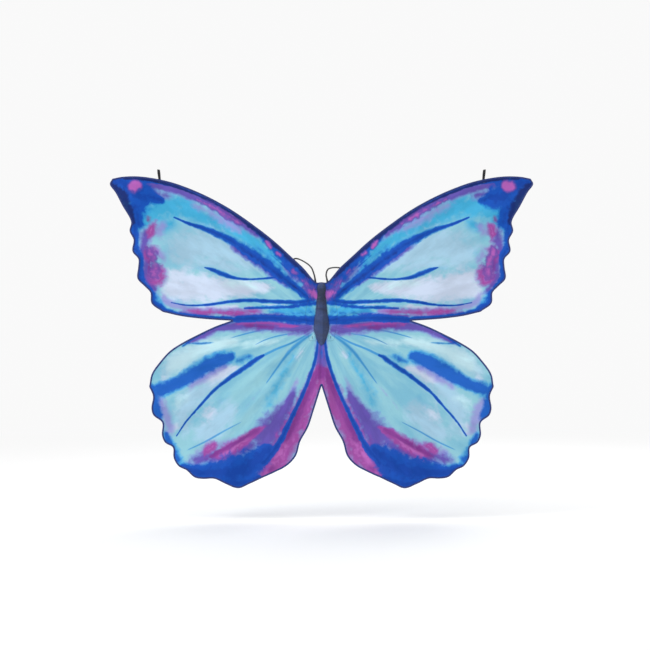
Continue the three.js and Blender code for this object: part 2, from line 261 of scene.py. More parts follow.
def panelLoop(nodeName):
    # outline of a CAD panel's front face, as points of x and z
    mesh = nodes[nodeName].data
    places = [(round(v.co.x, 6), round(v.co.z, 6)) for v in mesh.vertices]
    isFront = [abs(v.co.y - clothFront) < 2e-5 for v in mesh.vertices]
    follows = {}
    for face in mesh.polygons:
        corners = list(face.vertices)
        if all(isFront[i] for i in corners):
            for a, b in zip(corners, corners[1:] + corners[:1]):
                follows[(places[a], places[b])] = True
    edge = {a: b for a, b in follows if (b, a) not in follows}
    start = next(iter(edge))
    loop, here = [start], edge[start]
    while here != start:
        loop.append(here)
        here = edge[here]
    return np.array(loop)


tailEnd = panelLoop("right_wing_panel")
tailEnd = tailEnd[np.argmin(tailEnd[:, 1])]
tailPoint = notch - foldUp * ((notch - tailEnd) @ foldUp)


def onFoldLines(loop):
    # closes the clearance that the CAD panels leave along their fold lines
    loop = np.array(loop)
    count = len(loop)
    near = np.abs(np.abs(loop[:, 0]) - shoulderX) < reachOf["fold"]
    fixed = []
    for i, point in enumerate(loop):
        if min(np.linalg.norm(point - notch), np.linalg.norm(point * (-1, 1) - notch)) < reachOf["notch"]:
            point = notch * (np.sign(point[0]), 1)
        elif np.linalg.norm(np.abs(point) - np.abs(tailPoint)) < reachOf["tail"]:
            point = tailPoint * (np.sign(point[0]), 1)
        elif near[i] and near[i - 1] and near[(i + 1) % count]:
            continue
        elif near[i]:
            other = loop[i - 1] if not near[i - 1] else loop[(i + 1) % count]
            edgeX = math.copysign(shoulderX, point[0])
            share = (edgeX - point[0]) / (point[0] - other[0])
            point = point + (point - other) * share
            point[0] = edgeX
        if not fixed or np.linalg.norm(point - fixed[-1]) > reachOf["step"]:
            fixed.append(point)
    return np.array(fixed)


def cornersOf(loop):
    before = loop - np.roll(loop, 1, axis=0)
    after = np.roll(loop, -1, axis=0) - loop
    turn = np.arctan2(before[:, 0] * after[:, 1] - before[:, 1] * after[:, 0], (before * after).sum(1))
    onShoulder = np.abs(np.abs(loop[:, 0]) - shoulderX) < 1e-7
    return [i for i in range(len(loop)) if abs(turn[i]) > cornerTurn or onShoulder[i]]


def smoothLoop(loop, step):
    # the loop as stretches between its corners, each evenly sampled
    corners = cornersOf(loop)
    stretches = []
    for a, b in zip(corners, corners[1:] + [corners[0] + len(loop)]):
        run = np.array([loop[i % len(loop)] for i in range(a, b + 1)])
        if run[0][0] > run[-1][0] or (run[0][0] == run[-1][0] and run[0][1] > run[-1][1]):
            stretches.append(curveThrough(run[::-1], step)[::-1])
        else:
            stretches.append(curveThrough(run, step))
    return stretches


# The hang of the cloth

hang = {"crease": 1.8 * mm, "roll": 2.4 * mm, "ripple": 1.1 * mm, "calmAt": (0.523, 0.476), "held": 0.2 * mm}
creases = [
    # direction in degrees from level, peak radius, radial spread, height, width
    (12, 0.13, 0.10, 1.9, 0.010),
    (24, 0.20, 0.13, 2.3, 0.014),
    (37, 0.17, 0.12, 2.0, 0.012),
    (-9, 0.17, 0.12, 2.1, 0.013),
    (-24, 0.19, 0.13, 2.3, 0.013),
    (-38, 0.24, 0.15, 2.4, 0.015),
    (-52, 0.26, 0.17, 2.2, 0.014),
    (-63, 0.30, 0.18, 2.4, 0.015),
    (-70, 0.38, 0.13, 2.4, 0.013),
    (3, 0.38, 0.14, 1.6, 0.016),
    (30, 0.42, 0.16, 1.7, 0.018),
    (-46, 0.46, 0.12, 2.2, 0.016),
    (-57, 0.50, 0.10, 2.4, 0.013),
]


def clothLift(x, z):
    # how far the cloth stands out of its flat plane, in metres; less is outwards
    x, z = np.asarray(x, float), np.asarray(z, float)
    way = np.where(x < 0, -1.0, 1.0)
    radius = np.hypot(x, z - 0.03)
    angle = np.arctan2(z - 0.03, np.abs(x))
    side = np.abs(x)
    lift = np.zeros_like(radius)
    for i, (degrees, peak, spread, height, width) in enumerate(creases):
        wander = way * 0.025 * math.sin(2.3 * i + 0.7) + 0.05 * np.sin(radius * 9 + i * 1.9 + way)
        off = (angle - math.radians(degrees) - wander) * radius
        along = np.exp(-((radius - peak) / spread) ** 2)
        size = height * (1 + 0.3 * way * math.cos(1.7 * i))
        hollow = 0.45 * np.exp(-((off + 1.9 * width) / (1.6 * width)) ** 2)
        lift -= hang["crease"] * size * along * (np.exp(-(off / width) ** 2) - hollow)
    # slow rolls over each wing
    roll = np.sin(x * 9.5 + z * 7.0 + 0.6) + 0.8 * np.sin(x * -6.1 + z * 11.3 + 2.1)
    roll += 0.5 * np.sin(x * 17.0 - z * 13.0 + way)
    lift += hang["roll"] * roll * smoothStep(0.10, 0.34, side)
    # small ripples that come in towards the scalloped edges
    reach = smoothStep(0.40, 0.60, np.hypot(x * 0.92, (z + 0.02) * 1.12))
    ripple = np.sin(angle * 47 + 1.3 * way + 9 * radius) + 0.6 * np.sin(angle * 83 - 14 * radius + 2.0)
    lift += hang["ripple"] * ripple * reach
    # next to the body nothing may reach the straps behind it
    fromLoop = np.hypot(side - hang["calmAt"][0], z - hang["calmAt"][1])
    calm = smoothStep(0.018, 0.075, side) * smoothStep(0.014, 0.055, fromLoop)
    centre = 1 - smoothStep(0.112, 0.17, side)
    held = np.minimum(lift, hang["held"])
    return calm * (centre * held + (1 - centre) * lift)


# The print, brushed on the right wing and mirrored, with painted crease shade among the plum strokes: each
# stroke has its depth, and a path of x, z and half width in mm

brushStrokes = {
    "turquoise": [
        (1.0, [(400, 392, 12), (450, 408, 26), (500, 402, 34), (545, 392, 34), (575, 360, 24), (545, 335, 18)]),
        (0.8, [(470, 350, 16), (505, 338, 18), (530, 322, 12)]),
        (1.0, [(120, 206, 8), (165, 244, 12), (215, 284, 18), (280, 322, 24), (350, 352, 28), (420, 384, 26),
               (470, 404, 20)]),
        (0.9, [(20, 60, 18), (70, 62, 18), (120, 62, 14), (170, 62, 9)]),
        (0.7, [(520, 95, 12), (470, 98, 12), (420, 96, 8)]),
        (0.6, [(330, 214, 6), (370, 205, 8), (420, 200, 8)]),
        (0.55, [(455, 262, 12), (500, 250, 14), (515, 225, 12)]),
        (0.6, [(80, -60, 8), (110, -120, 12), (150, -190, 14), (180, -260, 14)]),
        (0.45, [(300, -205, 10), (330, -240, 12), (350, -280, 10)]),
        (0.6, [(280, -70, 10), (340, -76, 12), (400, -100, 14), (460, -138, 14)]),
    ],
    "frost": [
        (1.0, [(170, 196, 8), (230, 222, 20), (300, 250, 30), (370, 272, 40), (430, 262, 46), (470, 240, 40)]),
        (0.8, [(250, 192, 8), (330, 215, 20), (410, 225, 30)]),
        (0.9, [(300, -130, 14), (360, -170, 24), (420, -220, 28), (450, -280, 26), (440, -330, 20)]),
        (0.9, [(290, -240, 18), (320, -280, 30), (360, -320, 30), (400, -350, 24)]),
        (0.8, [(420, -60, 14), (460, -90, 18), (500, -130, 18), (520, -165, 10)]),
    ],
    "snow": [
        (1.1, [(160, 138, 8), (230, 136, 16), (300, 134, 24), (380, 132, 30), (450, 132, 30), (505, 138, 22)]),
        (0.9, [(380, 152, 14), (450, 168, 22), (500, 180, 20)]),
        (0.9, [(95, 80, 3), (150, 79, 4), (190, 82, 2)]),
        (0.8, [(260, 78, 5), (340, 72, 6), (420, 72, 6)]),
        (0.9, [(262, -118, 5), (300, -130, 10), (340, -150, 12), (375, -170, 10)]),
        (0.6, [(505, -150, 10), (518, -172, 8)]),
        (0.6, [(350, -255, 16), (380, -290, 16)]),
        (0.5, [(60, -60, 6), (85, -100, 8)]),
        (0.6, [(465, -300, 12), (480, -335, 14)]),
    ],
    "lilac": [
        (0.9, [(505, 350, 8), (525, 325, 12), (528, 300, 10)]),
        (0.8, [(430, 414, 8), (370, 386, 12), (305, 348, 12), (250, 316, 8)]),
        (0.8, [(500, 215, 8), (522, 240, 12), (535, 270, 12)]),
        (1.0, [(520, 120, 7), (500, 90, 8), (460, 76, 8), (400, 66, 8), (340, 62, 9), (260, 60, 9),
               (180, 60, 6)]),
        (0.9, [(420, -34, 8), (380, -18, 10), (330, -4, 8)]),
        (1.0, [(530, -215, 8), (512, -255, 12), (498, -300, 12), (486, -345, 12)]),
        (0.8, [(250, -348, 8), (300, -366, 12), (360, -388, 14), (420, -412, 12)]),
        (0.7, [(75, -150, 6), (100, -205, 9), (130, -255, 12), (160, -290, 12)]),
        (0.4, [(183, -178, 3), (220, -220, 4), (262, -272, 4)]),
        (0.7, [(42, -8, 6), (80, -14, 6), (120, -10, 5)]),
        (0.95, [(300, -112, 6), (350, -138, 11), (400, -168, 10), (440, -192, 7)]),
    ],
    "purple": [
        (1.2, [(345, 2, 6), (290, 12, 10), (220, 17, 13), (150, 13, 13), (90, 7, 13), (24, 4, 13)]),
        (1.0, [(440, -46, 4), (400, -26, 6), (350, -2, 8), (310, 10, 8)]),
        (1.2, [(84, -190, 6), (108, -240, 12), (140, -290, 22), (166, -330, 30), (190, -372, 30)]),
        (1.0, [(140, -318, 14), (196, -330, 16), (240, -352, 10)]),
        (1.15, [(640, 480, 6), (580, 476, 9), (519, 464, 9), (462, 450, 9), (433, 438, 9), (386, 422, 9),
                (348, 401, 9), (310, 379, 9),
                (262, 350, 10), (229, 327, 9), (195, 301, 8)]),
        (0.8, [(560, 446, 14), (520, 440, 12), (480, 430, 8)]),
        (1.0, [(60, 158, 11), (88, 182, 12), (120, 222, 10)]),
        (1.0, [(100, 140, 5), (150, 176, 8), (200, 214, 9), (250, 248, 9), (300, 276, 6)]),
        (1.0, [(578, 330, 10), (572, 300, 12), (580, 262, 10), (566, 224, 11), (570, 180, 12), (556, 150, 10),
               (530, 118, 8)]),
        (1.1, [(1, -14, 10), (1, -40, 11), (2, -80, 11), (4, -120, 12), (6, -160, 14)]),
        (1.0, [(206, -366, 12), (262, -392, 15), (320, -410, 14), (370, -424, 9)]),
        (1.0, [(300, 46, 5), (240, 46, 6), (170, 46, 6), (120, 48, 5)]),
        (0.8, [(480, 60, 5), (410, 52, 6), (350, 48, 6)]),
        (0.9, [(262, -384, 10), (320, -396, 12), (380, -414, 14), (430, -428, 10)]),
        (1.0, [(20, 112, 12), (36, 126, 15), (52, 144, 13)]),
    ],
    "magenta": [
        (1.0, [(10, -110, 6), (22, -150, 11), (30, -193, 19), (46, -232, 23), (62, -267, 25), (86, -317, 28),
               (117, -379, 32), (152, -429, 34), (180, -466, 28), (196, -486, 24)]),
        (1.0, [(0, -112, 5), (2, -150, 11), (3, -190, 13), (3, -215, 13)]),
        (1.1, [(176, -312, 5), (222, -334, 9), (262, -366, 14), (300, -392, 17), (350, -414, 16)]),
        (1.0, [(330, -372, 7), (354, -380, 12), (384, -404, 11)]),
        (0.72, [(290, 18, 6), (230, 22, 8), (180, 22, 8), (120, 15, 7), (60, 10, 5)]),
        (1.0, [(540, 350, 7), (556, 322, 10), (556, 296, 10)]),
        (1.1, [(548, 262, 12), (560, 242, 14), (548, 222, 12)]),
        (1.2, [(540, 196, 17), (536, 176, 20), (540, 156, 12)]),
        (0.75, [(452, 66, 5), (380, 58, 8), (310, 56, 8), (240, 58, 9), (190, 60, 7)]),
    ],
    "azure": [
        (1.25, [(284, -82, 6), (304, -88, 12), (330, -98, 15), (380, -122, 17), (430, -152, 16),
                (480, -178, 13), (536, -198, 16)]),
        (0.6, [(222, -84, 5), (240, -88, 10), (262, -98, 11), (284, -104, 9)]),
        (0.62, [(0, -20, 8), (0, -50, 8), (1, -78, 7), (2, -100, 4)]),
        (1.15, [(552, -180, 9), (547, -215, 15), (543, -250, 16), (522, -286, 8)]),
        (1.0, [(507, -330, 5), (494, -372, 11), (484, -400, 14), (464, -430, 13)]),
        (0.55, [(24, 60, 8), (60, 56, 9), (110, 54, 9), (180, 56, 6)]),
        (0.75, [(30, 94, 4), (70, 78, 5), (150, 76, 4), (220, 74, 3)]),
        (0.5, [(60, 138, 6), (110, 182, 8), (160, 226, 9), (215, 276, 8)]),
        (0.8, [(72, 162, 2), (120, 206, 2.5), (170, 250, 2)]),
        (0.7, [(270, -462, 10), (300, -470, 12), (330, -478, 10)]),
        (0.75, [(545, 130, 8), (540, 105, 9), (520, 80, 9)]),
        (0.7, [(450, -40, 3), (400, -44, 3), (350, -40, 2)]),
    ],
    # plum: partly the print's own dark purple, partly painted shade in the creases
    "plumAndCreaseShade": [
        (1.0, [(1, -108, 5), (2, -135, 9), (3, -168, 8)]),
        (0.95, [(12, -118, 6), (26, -165, 9), (52, -222, 12), (76, -275, 13), (100, -325, 13),
                (126, -368, 12)]),
        # painted shade: the dark crease line across the hindwing
        (0.9, [(186, -316, 3), (216, -330, 6), (262, -358, 6), (318, -388, 7), (372, -418, 6)]),
        (0.8, [(262, 14, 5), (200, 12, 6), (140, 8, 6)]),
        (0.7, [(150, -440, 12), (178, -462, 10)]),
        (0.7, [(560, 372, 7), (566, 350, 8)]),
        (0.7, [(562, 286, 7), (566, 262, 7), (560, 214, 7), (556, 176, 7)]),
        (0.7, [(340, 400, 4), (280, 364, 4), (240, 338, 4)]),
    ],
    "cobalt": [
        (1.2, [(684, 484, 12), (640, 474, 26), (605, 450, 36), (578, 434, 28), (545, 430, 16), (518, 420, 7)]),
        (1.1, [(605, 400, 22), (598, 372, 18), (592, 345, 13)]),
        (1.2, [(14, 138, 14), (44, 166, 18), (78, 204, 20), (118, 244, 19), (160, 284, 14), (205, 322, 8),
               (260, 362, 4),
               (330, 404, 3), (400, 438, 3), (460, 463, 4), (520, 481, 6), (600, 490, 9)]),
        (1.2, [(28, 99, 7), (52, 113, 8), (100, 151, 10), (148, 186, 12), (195, 222, 13), (243, 256, 12),
               (291, 288, 9),
               (338, 312, 6.5), (386, 331, 4.6), (434, 347, 3), (479, 366, 1.3)]),
        (1.15, [(30, 98, 6), (70, 90, 5), (148, 92, 4), (243, 96, 4), (300, 92, 3.2), (367, 82, 2.4),
                (434, 80, 1.9), (488, 89, 1.2)]),
        (1.1, [(148, 171, 2.2), (200, 166, 1.9), (243, 165, 2.2), (291, 171, 3.8), (324, 183, 5),
               (350, 194, 4.4), (379, 203, 1.3)]),
        (1.1, [(612, 372, 9), (606, 335, 10), (608, 302, 10), (604, 268, 11), (588, 236, 8), (590, 200, 9),
               (590, 165, 11),
               (570, 138, 10), (552, 116, 8), (546, 92, 8), (512, 66, 7)]),
        (1.1, [(515, 64, 6), (460, 52, 5), (400, 44, 4.5), (340, 39, 5), (296, 34, 8)]),
        (1.25, [(292, 32, 5), (262, 35, 8), (200, 39, 9), (140, 38, 9), (80, 32, 10), (20, 32, 10)]),
        (0.9, [(20, 88, 5), (60, 82, 5), (120, 74, 4), (190, 72, 3), (250, 70, 2.5)]),
        (1.15, [(188, -82, 2.4), (206, -92, 4.6), (249, -122, 5), (307, -163, 4), (357, -204, 3),
                (398, -250, 2.3), (440, -298, 1.9), (471, -344, 1.3)]),
        (1.3, [(448, -448, 10), (396, -464, 17), (345, -462, 26), (292, -462, 36), (246, -446, 36),
               (206, -416, 26), (172, -388, 14)]),
        (1.2, [(206, -478, 8), (236, -490, 14), (268, -500, 15), (310, -492, 12)]),
        (1.2, [(11, -24, 3), (13, -50, 3), (24, -110, 3.6), (54, -193, 4.4), (88, -267, 5.4), (112, -317, 6.4),
               (146, -379, 8), (190, -432, 11)]),
        (0.8, [(450, -52, 3), (400, -18, 4), (340, 12, 4), (290, 28, 5)]),
    ],
    "vein": [
        (1.1, [(83, 10, 1.5), (166, 4, 2), (229, -8, 1.8), (299, -27, 0.8)]),
        (0.95, [(60, -8, 1.6), (125, -16, 1.9), (175, -29, 1.6), (220, -50, 0.8)]),
        (1.0, [(34, -8, 2), (92, -40, 2.4), (146, -62, 2.8), (205, -91, 3.4)]),
        (0.85, [(26, -10, 2.2), (63, -34, 4.5), (100, -66, 5), (125, -97, 3.6), (154, -137, 2.6),
                (183, -178, 1.4)]),
        (0.8, [(255, -296, 1), (316, -328, 2.4), (374, -361, 2.6), (440, -392, 1.6)]),
    ],
    "mist": [
        (1.0, [(250, -34, 8), (320, -42, 14), (390, -62, 20), (450, -96, 26), (498, -140, 20)]),
        (0.6, [(120, -32, 8), (200, -42, 12), (280, -44, 14)]),
        (0.6, [(420, -216, 12), (462, -232, 14), (480, -270, 12)]),
        (0.7, [(190, 130, 10), (260, 150, 12), (330, 150, 12)]),
    ],
    "navy": [
        (1.2, [(684, 470, 9), (664, 448, 15), (644, 412, 18), (628, 380, 15), (616, 350, 8)]),
        (1.0, [(640, 492, 4), (560, 487, 4), (480, 467, 3.5), (400, 436, 3.5), (300, 384, 4), (200, 314, 7),
               (120, 250, 8), (70, 198, 6), (40, 170, 4)]),
        (0.5, [(52, 113, 5), (100, 150, 7), (148, 184, 8), (195, 220, 8), (243, 252, 6), (280, 276, 4)]),
        (0.6, [(610, 300, 4), (606, 262, 5)]),
    ],
    "rose": [
        (1.2, [(597, 469, 9), (608, 466, 13), (616, 463, 9)]),
        (0.66, [(405, 424, 5), (350, 397, 8), (300, 368, 8), (262, 345, 6)]),
        (0.7, [(560, 262, 8), (552, 240, 12), (540, 206, 12), (544, 180, 14)]),
        (0.8, [(166, 268, 5), (174, 280, 7), (180, 288, 4)]),
        (0.8, [(134, 244, 5), (144, 252, 5)]),
        (0.6, [(82, 184, 6), (92, 194, 6)]),
        (0.85, [(16, 106, 8), (26, 116, 12), (36, 124, 9)]),
        (0.5, [(34, 138, 13), (50, 152, 14), (60, 160, 9)]),
    ],
}
# mm over which the ends of a stroke run dry
fadedEnds = {"turquoise": 30, "frost": 30, "snow": 25, "lilac": 25, "purple": 25, "magenta": 30, "plumAndCreaseShade": 25,
             "mist": 40, "vein": 14, "azure": 12}
# how each dye takes: mask value where it begins, value where it is full, sRGB colour, cover
dyeLayers = [
    ("turquoise", 0.12, 0.85, "#35a6d3", 0.92),
    ("frost", 0.12, 0.80, "#9fc4da", 0.95),
    ("snow", 0.12, 0.80, "#c3cfe4", 0.97),
    ("mist", 0.12, 0.90, "#bedfe9", 0.92),
    ("vein", 0.20, 0.75, "#2e8bc9", 0.9),
    ("cobalt", 0.08, 0.48, "#2489cd", 0.85),
    ("azure", 0.08, 0.50, "#3f9fd6", 0.85),
    ("lilac", 0.15, 0.90, "#8f8ccb", 0.85),
    ("purple", 0.10, 0.50, "#7488cd", 0.65),
    ("magenta", 0.10, 0.50, "#8a74c0", 0.75),
    ("purple", 0.30, 0.86, "#604ba8", 0.95),
    ("magenta", 0.30, 0.78, "#9c489c", 0.97),
    ("magenta", 0.78, 1.05, "#b666b6", 0.85),
    # plum: print colour and painted crease shade
    ("plumAndCreaseShade", 0.20, 0.80, "#7a3288", 0.85),
    ("azure", 0.32, 0.82, "#1459b8", 0.97),
    ("cobalt", 0.34, 0.70, "#0c4db2", 0.98),
    ("cobalt", 0.80, 1.15, "#0a3f9f", 0.8),
    ("navy", 0.36, 0.80, "#112464", 0.92),
    ("rose", 0.16, 0.50, "#5246a0", 0.8),
    ("rose", 0.36, 0.84, "#ae5cb0", 0.95),
]
dyeReach = 2.4  # how far dye goes, in half widths of its stroke


def dyeAmount(x, z, strokes, endFade):
    # 1 along the middle of a stroke, half of that a little outside its edge, then nothing
    places = np.stack([np.abs(x) / mm, z / mm], 1)
    amount = np.zeros(len(places))
    for depth, stroke in strokes:
        run = curveThrough(stroke, 4.0)
        lengths = lengthsAlong(run[:, :2])
        fade = min(endFade, 0.35 * lengths[-1])
        depths = np.full(len(run), depth)
        if fade > 0:
            depths = depth * (0.4 + 0.6 * smoothStep(0, fade, np.minimum(lengths, lengths[-1] - lengths)))
        reach = dyeReach * run[:, 2].max()
        low, high = run[:, :2].min(0) - reach, run[:, :2].max(0) + reach
        inside = np.nonzero(((places > low) & (places < high)).all(1))[0]
        near = places[inside]
        laid = np.zeros(len(inside))
        for a, b, deepA, deepB in zip(run, run[1:], depths, depths[1:]):
            leg = b[:2] - a[:2]
            share = np.clip(((near - a[:2]) @ leg) / (leg @ leg), 0, 1)
            off = np.linalg.norm(near - a[:2] - share[:, None] * leg, axis=1)
            half = dyeReach * (a[2] + share * (b[2] - a[2]))
            laid = np.maximum(laid, (deepA + share * (deepB - deepA)) * (1 - off / half))
        amount[inside] = np.maximum(amount[inside], laid)
    return amount


# Printed polyester satin: sublimation dye on a smooth warp face, with water-like edges
# and a soft shine, and paler from behind
printedSatin, tree, shader = newMaterial("printed_polyester_satin", {
    "Roughness": 0.46, "Specular IOR Level": 0.14, "Sheen Weight": 0.02, "Sheen Roughness": 0.4})
flow, flat, reverse = (addNode(tree, "Attribute", attribute_name=name) for name in ("flow", "flat", "reverse"))
# brush marks 12 to 60 mm long that run out from the body, and blooms about 20 mm across
marks = addNode(tree, "TexNoise", {"Vector": flow, "Scale": 30.0, "Detail": 5.0, "Roughness": 0.6})
blooms = addNode(tree, "TexNoise", {"Vector": flat, "Scale": 46.0, "Detail": 5.0, "Roughness": 0.55,
                                    "Distortion": 0.4})
edge = addNode(tree, "Mix", {"Factor": 0.55, 2: marks, 3: blooms})
bleed = addNode(tree, "Math", {0: edge, 1: 1.7, 2: -0.85}, operation="MULTIPLY_ADD")
toneNoise = addNode(tree, "TexNoise", {"Vector": flow, "Scale": 15.0, "Detail": 4.0, "Roughness": 0.55})
tone = addNode(tree, "MapRange", {"Value": toneNoise, "From Min": 0.34, "From Max": 0.66},
               interpolation_type="SMOOTHSTEP")
wash = addNode(tree, "Mix", {"Factor": tone, 6: linear("#82c2da"), 7: linear("#9ad3e1")}, data_type="RGBA")
colour = wash.outputs[2]
wetness = {}
bleedShare = {"vein": 0.3, "mist": 0.6}  # of the others' bleeding
for name, low, high, hexColour, cover in dyeLayers:
    if name not in wetness:
        mask = addNode(tree, "Attribute", attribute_name=name)
        present = addNode(tree, "MapRange", {"Value": mask, "From Min": 0.0, "From Max": 0.12,
                                             "To Max": bleedShare.get(name, 1.0)})
        wetness[name] = addNode(tree, "Math", {0: bleed, 1: present, 2: mask}, operation="MULTIPLY_ADD")
    taken = addNode(tree, "MapRange", {"Value": wetness[name], "From Min": low, "From Max": high,
                                       "To Max": cover}, interpolation_type="SMOOTHSTEP")
    lighter = [min(c * 1.25 + 0.006, 1) for c in linear(hexColour)[:3]] + [1]
    ink = addNode(tree, "Mix", {"Factor": tone, 6: linear(hexColour), 7: lighter}, data_type="RGBA")
    colour = addNode(tree, "Mix", {"Factor": taken, 6: colour, 7: ink.outputs[2]}, data_type="RGBA").outputs[2]
# the dye reaches the back weakly
through = addNode(tree, "Math", {0: reverse, 1: 0.42}, operation="MULTIPLY")
colour = addNode(tree, "Mix", {"Factor": through, 6: colour, 7: linear("#d6e0ec")}, data_type="RGBA").outputs[2]
# creases pressed into the cloth 8 to 30 mm apart, and the weave's ribs,
# 0.3 mm on the real cloth, drawn 1.1 mm apart so that they show
pressed = addNode(tree, "TexNoise", {"Vector": flat, "Scale": 26.0, "Detail": 3.0, "Roughness": 0.5,
                                     "Distortion": 1.2})
ribs = addNode(tree, "TexWave", {
    "Vector": flat, "Scale": 285.0, "Distortion": 0.6, "Detail": 1.0, "Detail Scale": 1.5,
}, wave_type="BANDS", bands_direction="DIAGONAL")
pressedBump = addNode(tree, "Bump", {"Strength": 0.6, "Distance": 0.0045, "Height": pressed})
ribBump = addNode(tree, "Bump", {"Strength": 0.35, "Distance": 0.00008, "Height": ribs, "Normal": pressedBump})
plug(shader, {"Base Color": colour, "Normal": ribBump})
print("print and satin ready")


# The five cloth sheets

cloth = {"spacing": 0.0026, "thickness": 0.0006}


def insideLoop(points, loop):
    inside = np.zeros(len(points), bool)
    for a, b in zip(loop, np.roll(loop, -1, axis=0)):
        if a[1] == b[1]:
            continue
        crosses = (a[1] > points[:, 1]) != (b[1] > points[:, 1])
        inside ^= crosses & (points[:, 0] < (b[0] - a[0]) * (points[:, 1] - a[1]) / (b[1] - a[1]) + a[0])
    return inside


def rimTree(rim):
    tree = kdtree.KDTree(len(rim))
    for i, point in enumerate(rim):
        tree.insert((*point, 0), i)
    tree.balance()
    return tree


def flatMesh(border, spacing):
    # an even triangle mesh inside a closed border
    low, high = border.min(0), border.max(0)
    rows = np.arange(low[1] + spacing / 2, high[1], spacing * 0.866)
    grid = np.array([(x, z) for k, z in enumerate(rows)
                     for x in np.arange(low[0] + (k % 2) * spacing / 2, high[0], spacing)])
    grid = grid[insideLoop(grid, border)]
    tree = rimTree(border)
    grid = np.array([p for p in grid if tree.find((*p, 0))[2] > 0.62 * spacing])
    places = [Vector(p) for p in np.vstack([border, grid])]
    count = len(border)
    edges = [(i, (i + 1) % count) for i in range(count)]
    made = geometry.delaunay_2d_cdt(places, edges, [], 1, 1e-7)
    return np.array([tuple(p) for p in made[0]]), made[2]


def dyed(piece):
    # the print's dye amounts, and how the brush ran, for each point of the front and of the back
    places = flatPattern(piece)
    x, z = places[:, 0], places[:, 2]
    middle = clothMid + clothLift(x, z)
    half = len(places) // 2
    for name, strokes in brushStrokes.items():
        first = dyeAmount(x[:half], z[:half], strokes, fadedEnds.get(name, 0))
        setAttribute(piece, name, np.r_[first, first])
    radius = np.hypot(x, z - 0.02)
    angle = np.arctan2(z - 0.02, np.abs(x))
    setAttribute(piece, "flow", np.stack([radius * 0.42, angle * 0.50, np.sign(x) * 0.3], 1), "FLOAT_VECTOR")
    setAttribute(piece, "reverse", (places[:, 1] > middle).astype(float))


def addSheet(name, flatPoints, faces, way):
    x, z = way * flatPoints[:, 0], flatPoints[:, 1]
    points = np.stack([x, clothMid + clothLift(x, z), z], 1)
    turned = faces if way > 0 else [face[::-1] for face in faces]
    piece = newPiece(name, points, turned, printedSatin)
    pick(piece)
    wall = piece.modifiers.new("wall", "SOLIDIFY")
    wall.thickness = cloth["thickness"]
    wall.offset = 0
    bpy.ops.object.modifier_apply(modifier="wall")
    bpy.ops.object.shade_smooth_by_angle(angle=math.radians(50))
    dyed(piece)
    return piece


def flatArea(flatPoints, faces):
    corners = flatPoints[np.array([face[:3] for face in faces])]
    a, b = corners[:, 1] - corners[:, 0], corners[:, 2] - corners[:, 0]
    return float(abs(a[:, 0] * b[:, 1] - a[:, 1] * b[:, 0]).sum() / 2)


edgeRuns = {}
sheets = {}
sheetSizes = {}
for panel in ("centre_panel", "right_wing_panel", "right_hindwing_panel"):
    stretches = smoothLoop(onFoldLines(panelLoop(panel)), cloth["spacing"])
    border = np.vstack([run[:-1] for run in stretches])
    flatPoints, faces = flatMesh(border, cloth["spacing"])
    edgeRuns[panel] = stretches
    span = flatPoints.max(0) - flatPoints.min(0)
    size = ((float(span[0]), float(span[1])), flatArea(flatPoints, faces))
    if panel == "centre_panel":
        sheets["centre"] = addSheet("centre_cloth", flatPoints, faces, 1)
        sheetSizes["centre"] = size
    else:
        part = panel.split("_")[1]
        for side, way in sides:
            sheets[f"{side}_{part}"] = addSheet(f"{side}_{part}_cloth", flatPoints, faces, way)
            sheetSizes[f"{side}_{part}"] = size
    print(panel, "sheet:", len(flatPoints), "points")


def sweep(name, rings, material, closed=False):
    # joins rings of points, each of the same count and order, into one skin
    count = len(rings[0])
    faces = []
    for k in range(len(rings) if closed else len(rings) - 1):
        a, b = k * count, ((k + 1) % len(rings)) * count
        faces += [(a + i, b + i, b + (i + 1) % count, a + (i + 1) % count) for i in range(count)]
    if not closed:
        faces.append(tuple(range(count)))
        faces.append(tuple(reversed(range((len(rings) - 1) * count, len(rings) * count))))
    piece = newPiece(name, np.vstack(rings), faces, material)
    outward(piece)
    return piece


def outward(piece):
    mesh = bmesh.new()
    mesh.from_mesh(piece.data)
    bmesh.ops.recalc_face_normals(mesh, faces=mesh.faces)
    mesh.to_mesh(piece.data)
    mesh.free()


def threadTube(points, radius, closed=False, facets=6):
    # rings of a thin round thread along a path
    points = np.asarray(points, float)
    if closed:
        along = np.roll(points, -1, axis=0) - np.roll(points, 1, axis=0)
    else:
        along = np.gradient(points, axis=0)
    along = unit(along)
    side = np.cross(along, (0.0, 1.0, 0.0))
    side /= np.maximum(np.linalg.norm(side, axis=1), 1e-9)[:, None]
    up = np.cross(side, along)
    turns = [2 * math.pi * k / facets for k in range(facets)]
    return [[p + radius * (math.cos(t) * s + math.sin(t) * u) for t in turns]
            for p, s, u in zip(points, side, up)]


def joined(name, pieces):
    pick(*pieces)
    bpy.ops.object.join()
    pieces[0].name = name
    pieces[0].data.name = name
    return pieces[0]


# Hems: a 4 mm overlocked edge wrapped round the cloth

hem = {
    "spacing": 0.0011,
    "stitchPitch": 0.003,  # one loop of overlock thread
    "stitchRise": 0.00022,
    # section: distance in from the edge and height over the cloth, in mm
    "section": [(4.2, -0.75), (2.0, -1.0), (0.0, -1.05), (-0.9, -0.7), (-1.25, 0.0), (-0.9, 0.7), (0.0, 1.05),
                (2.0, 1.0), (4.2, 0.75)],
}

overlockHem, tree, shader = newMaterial("overlocked_polyester_hem", {
    "Roughness": 0.55, "Specular IOR Level": 0.35, "Sheen Weight": 0.15})


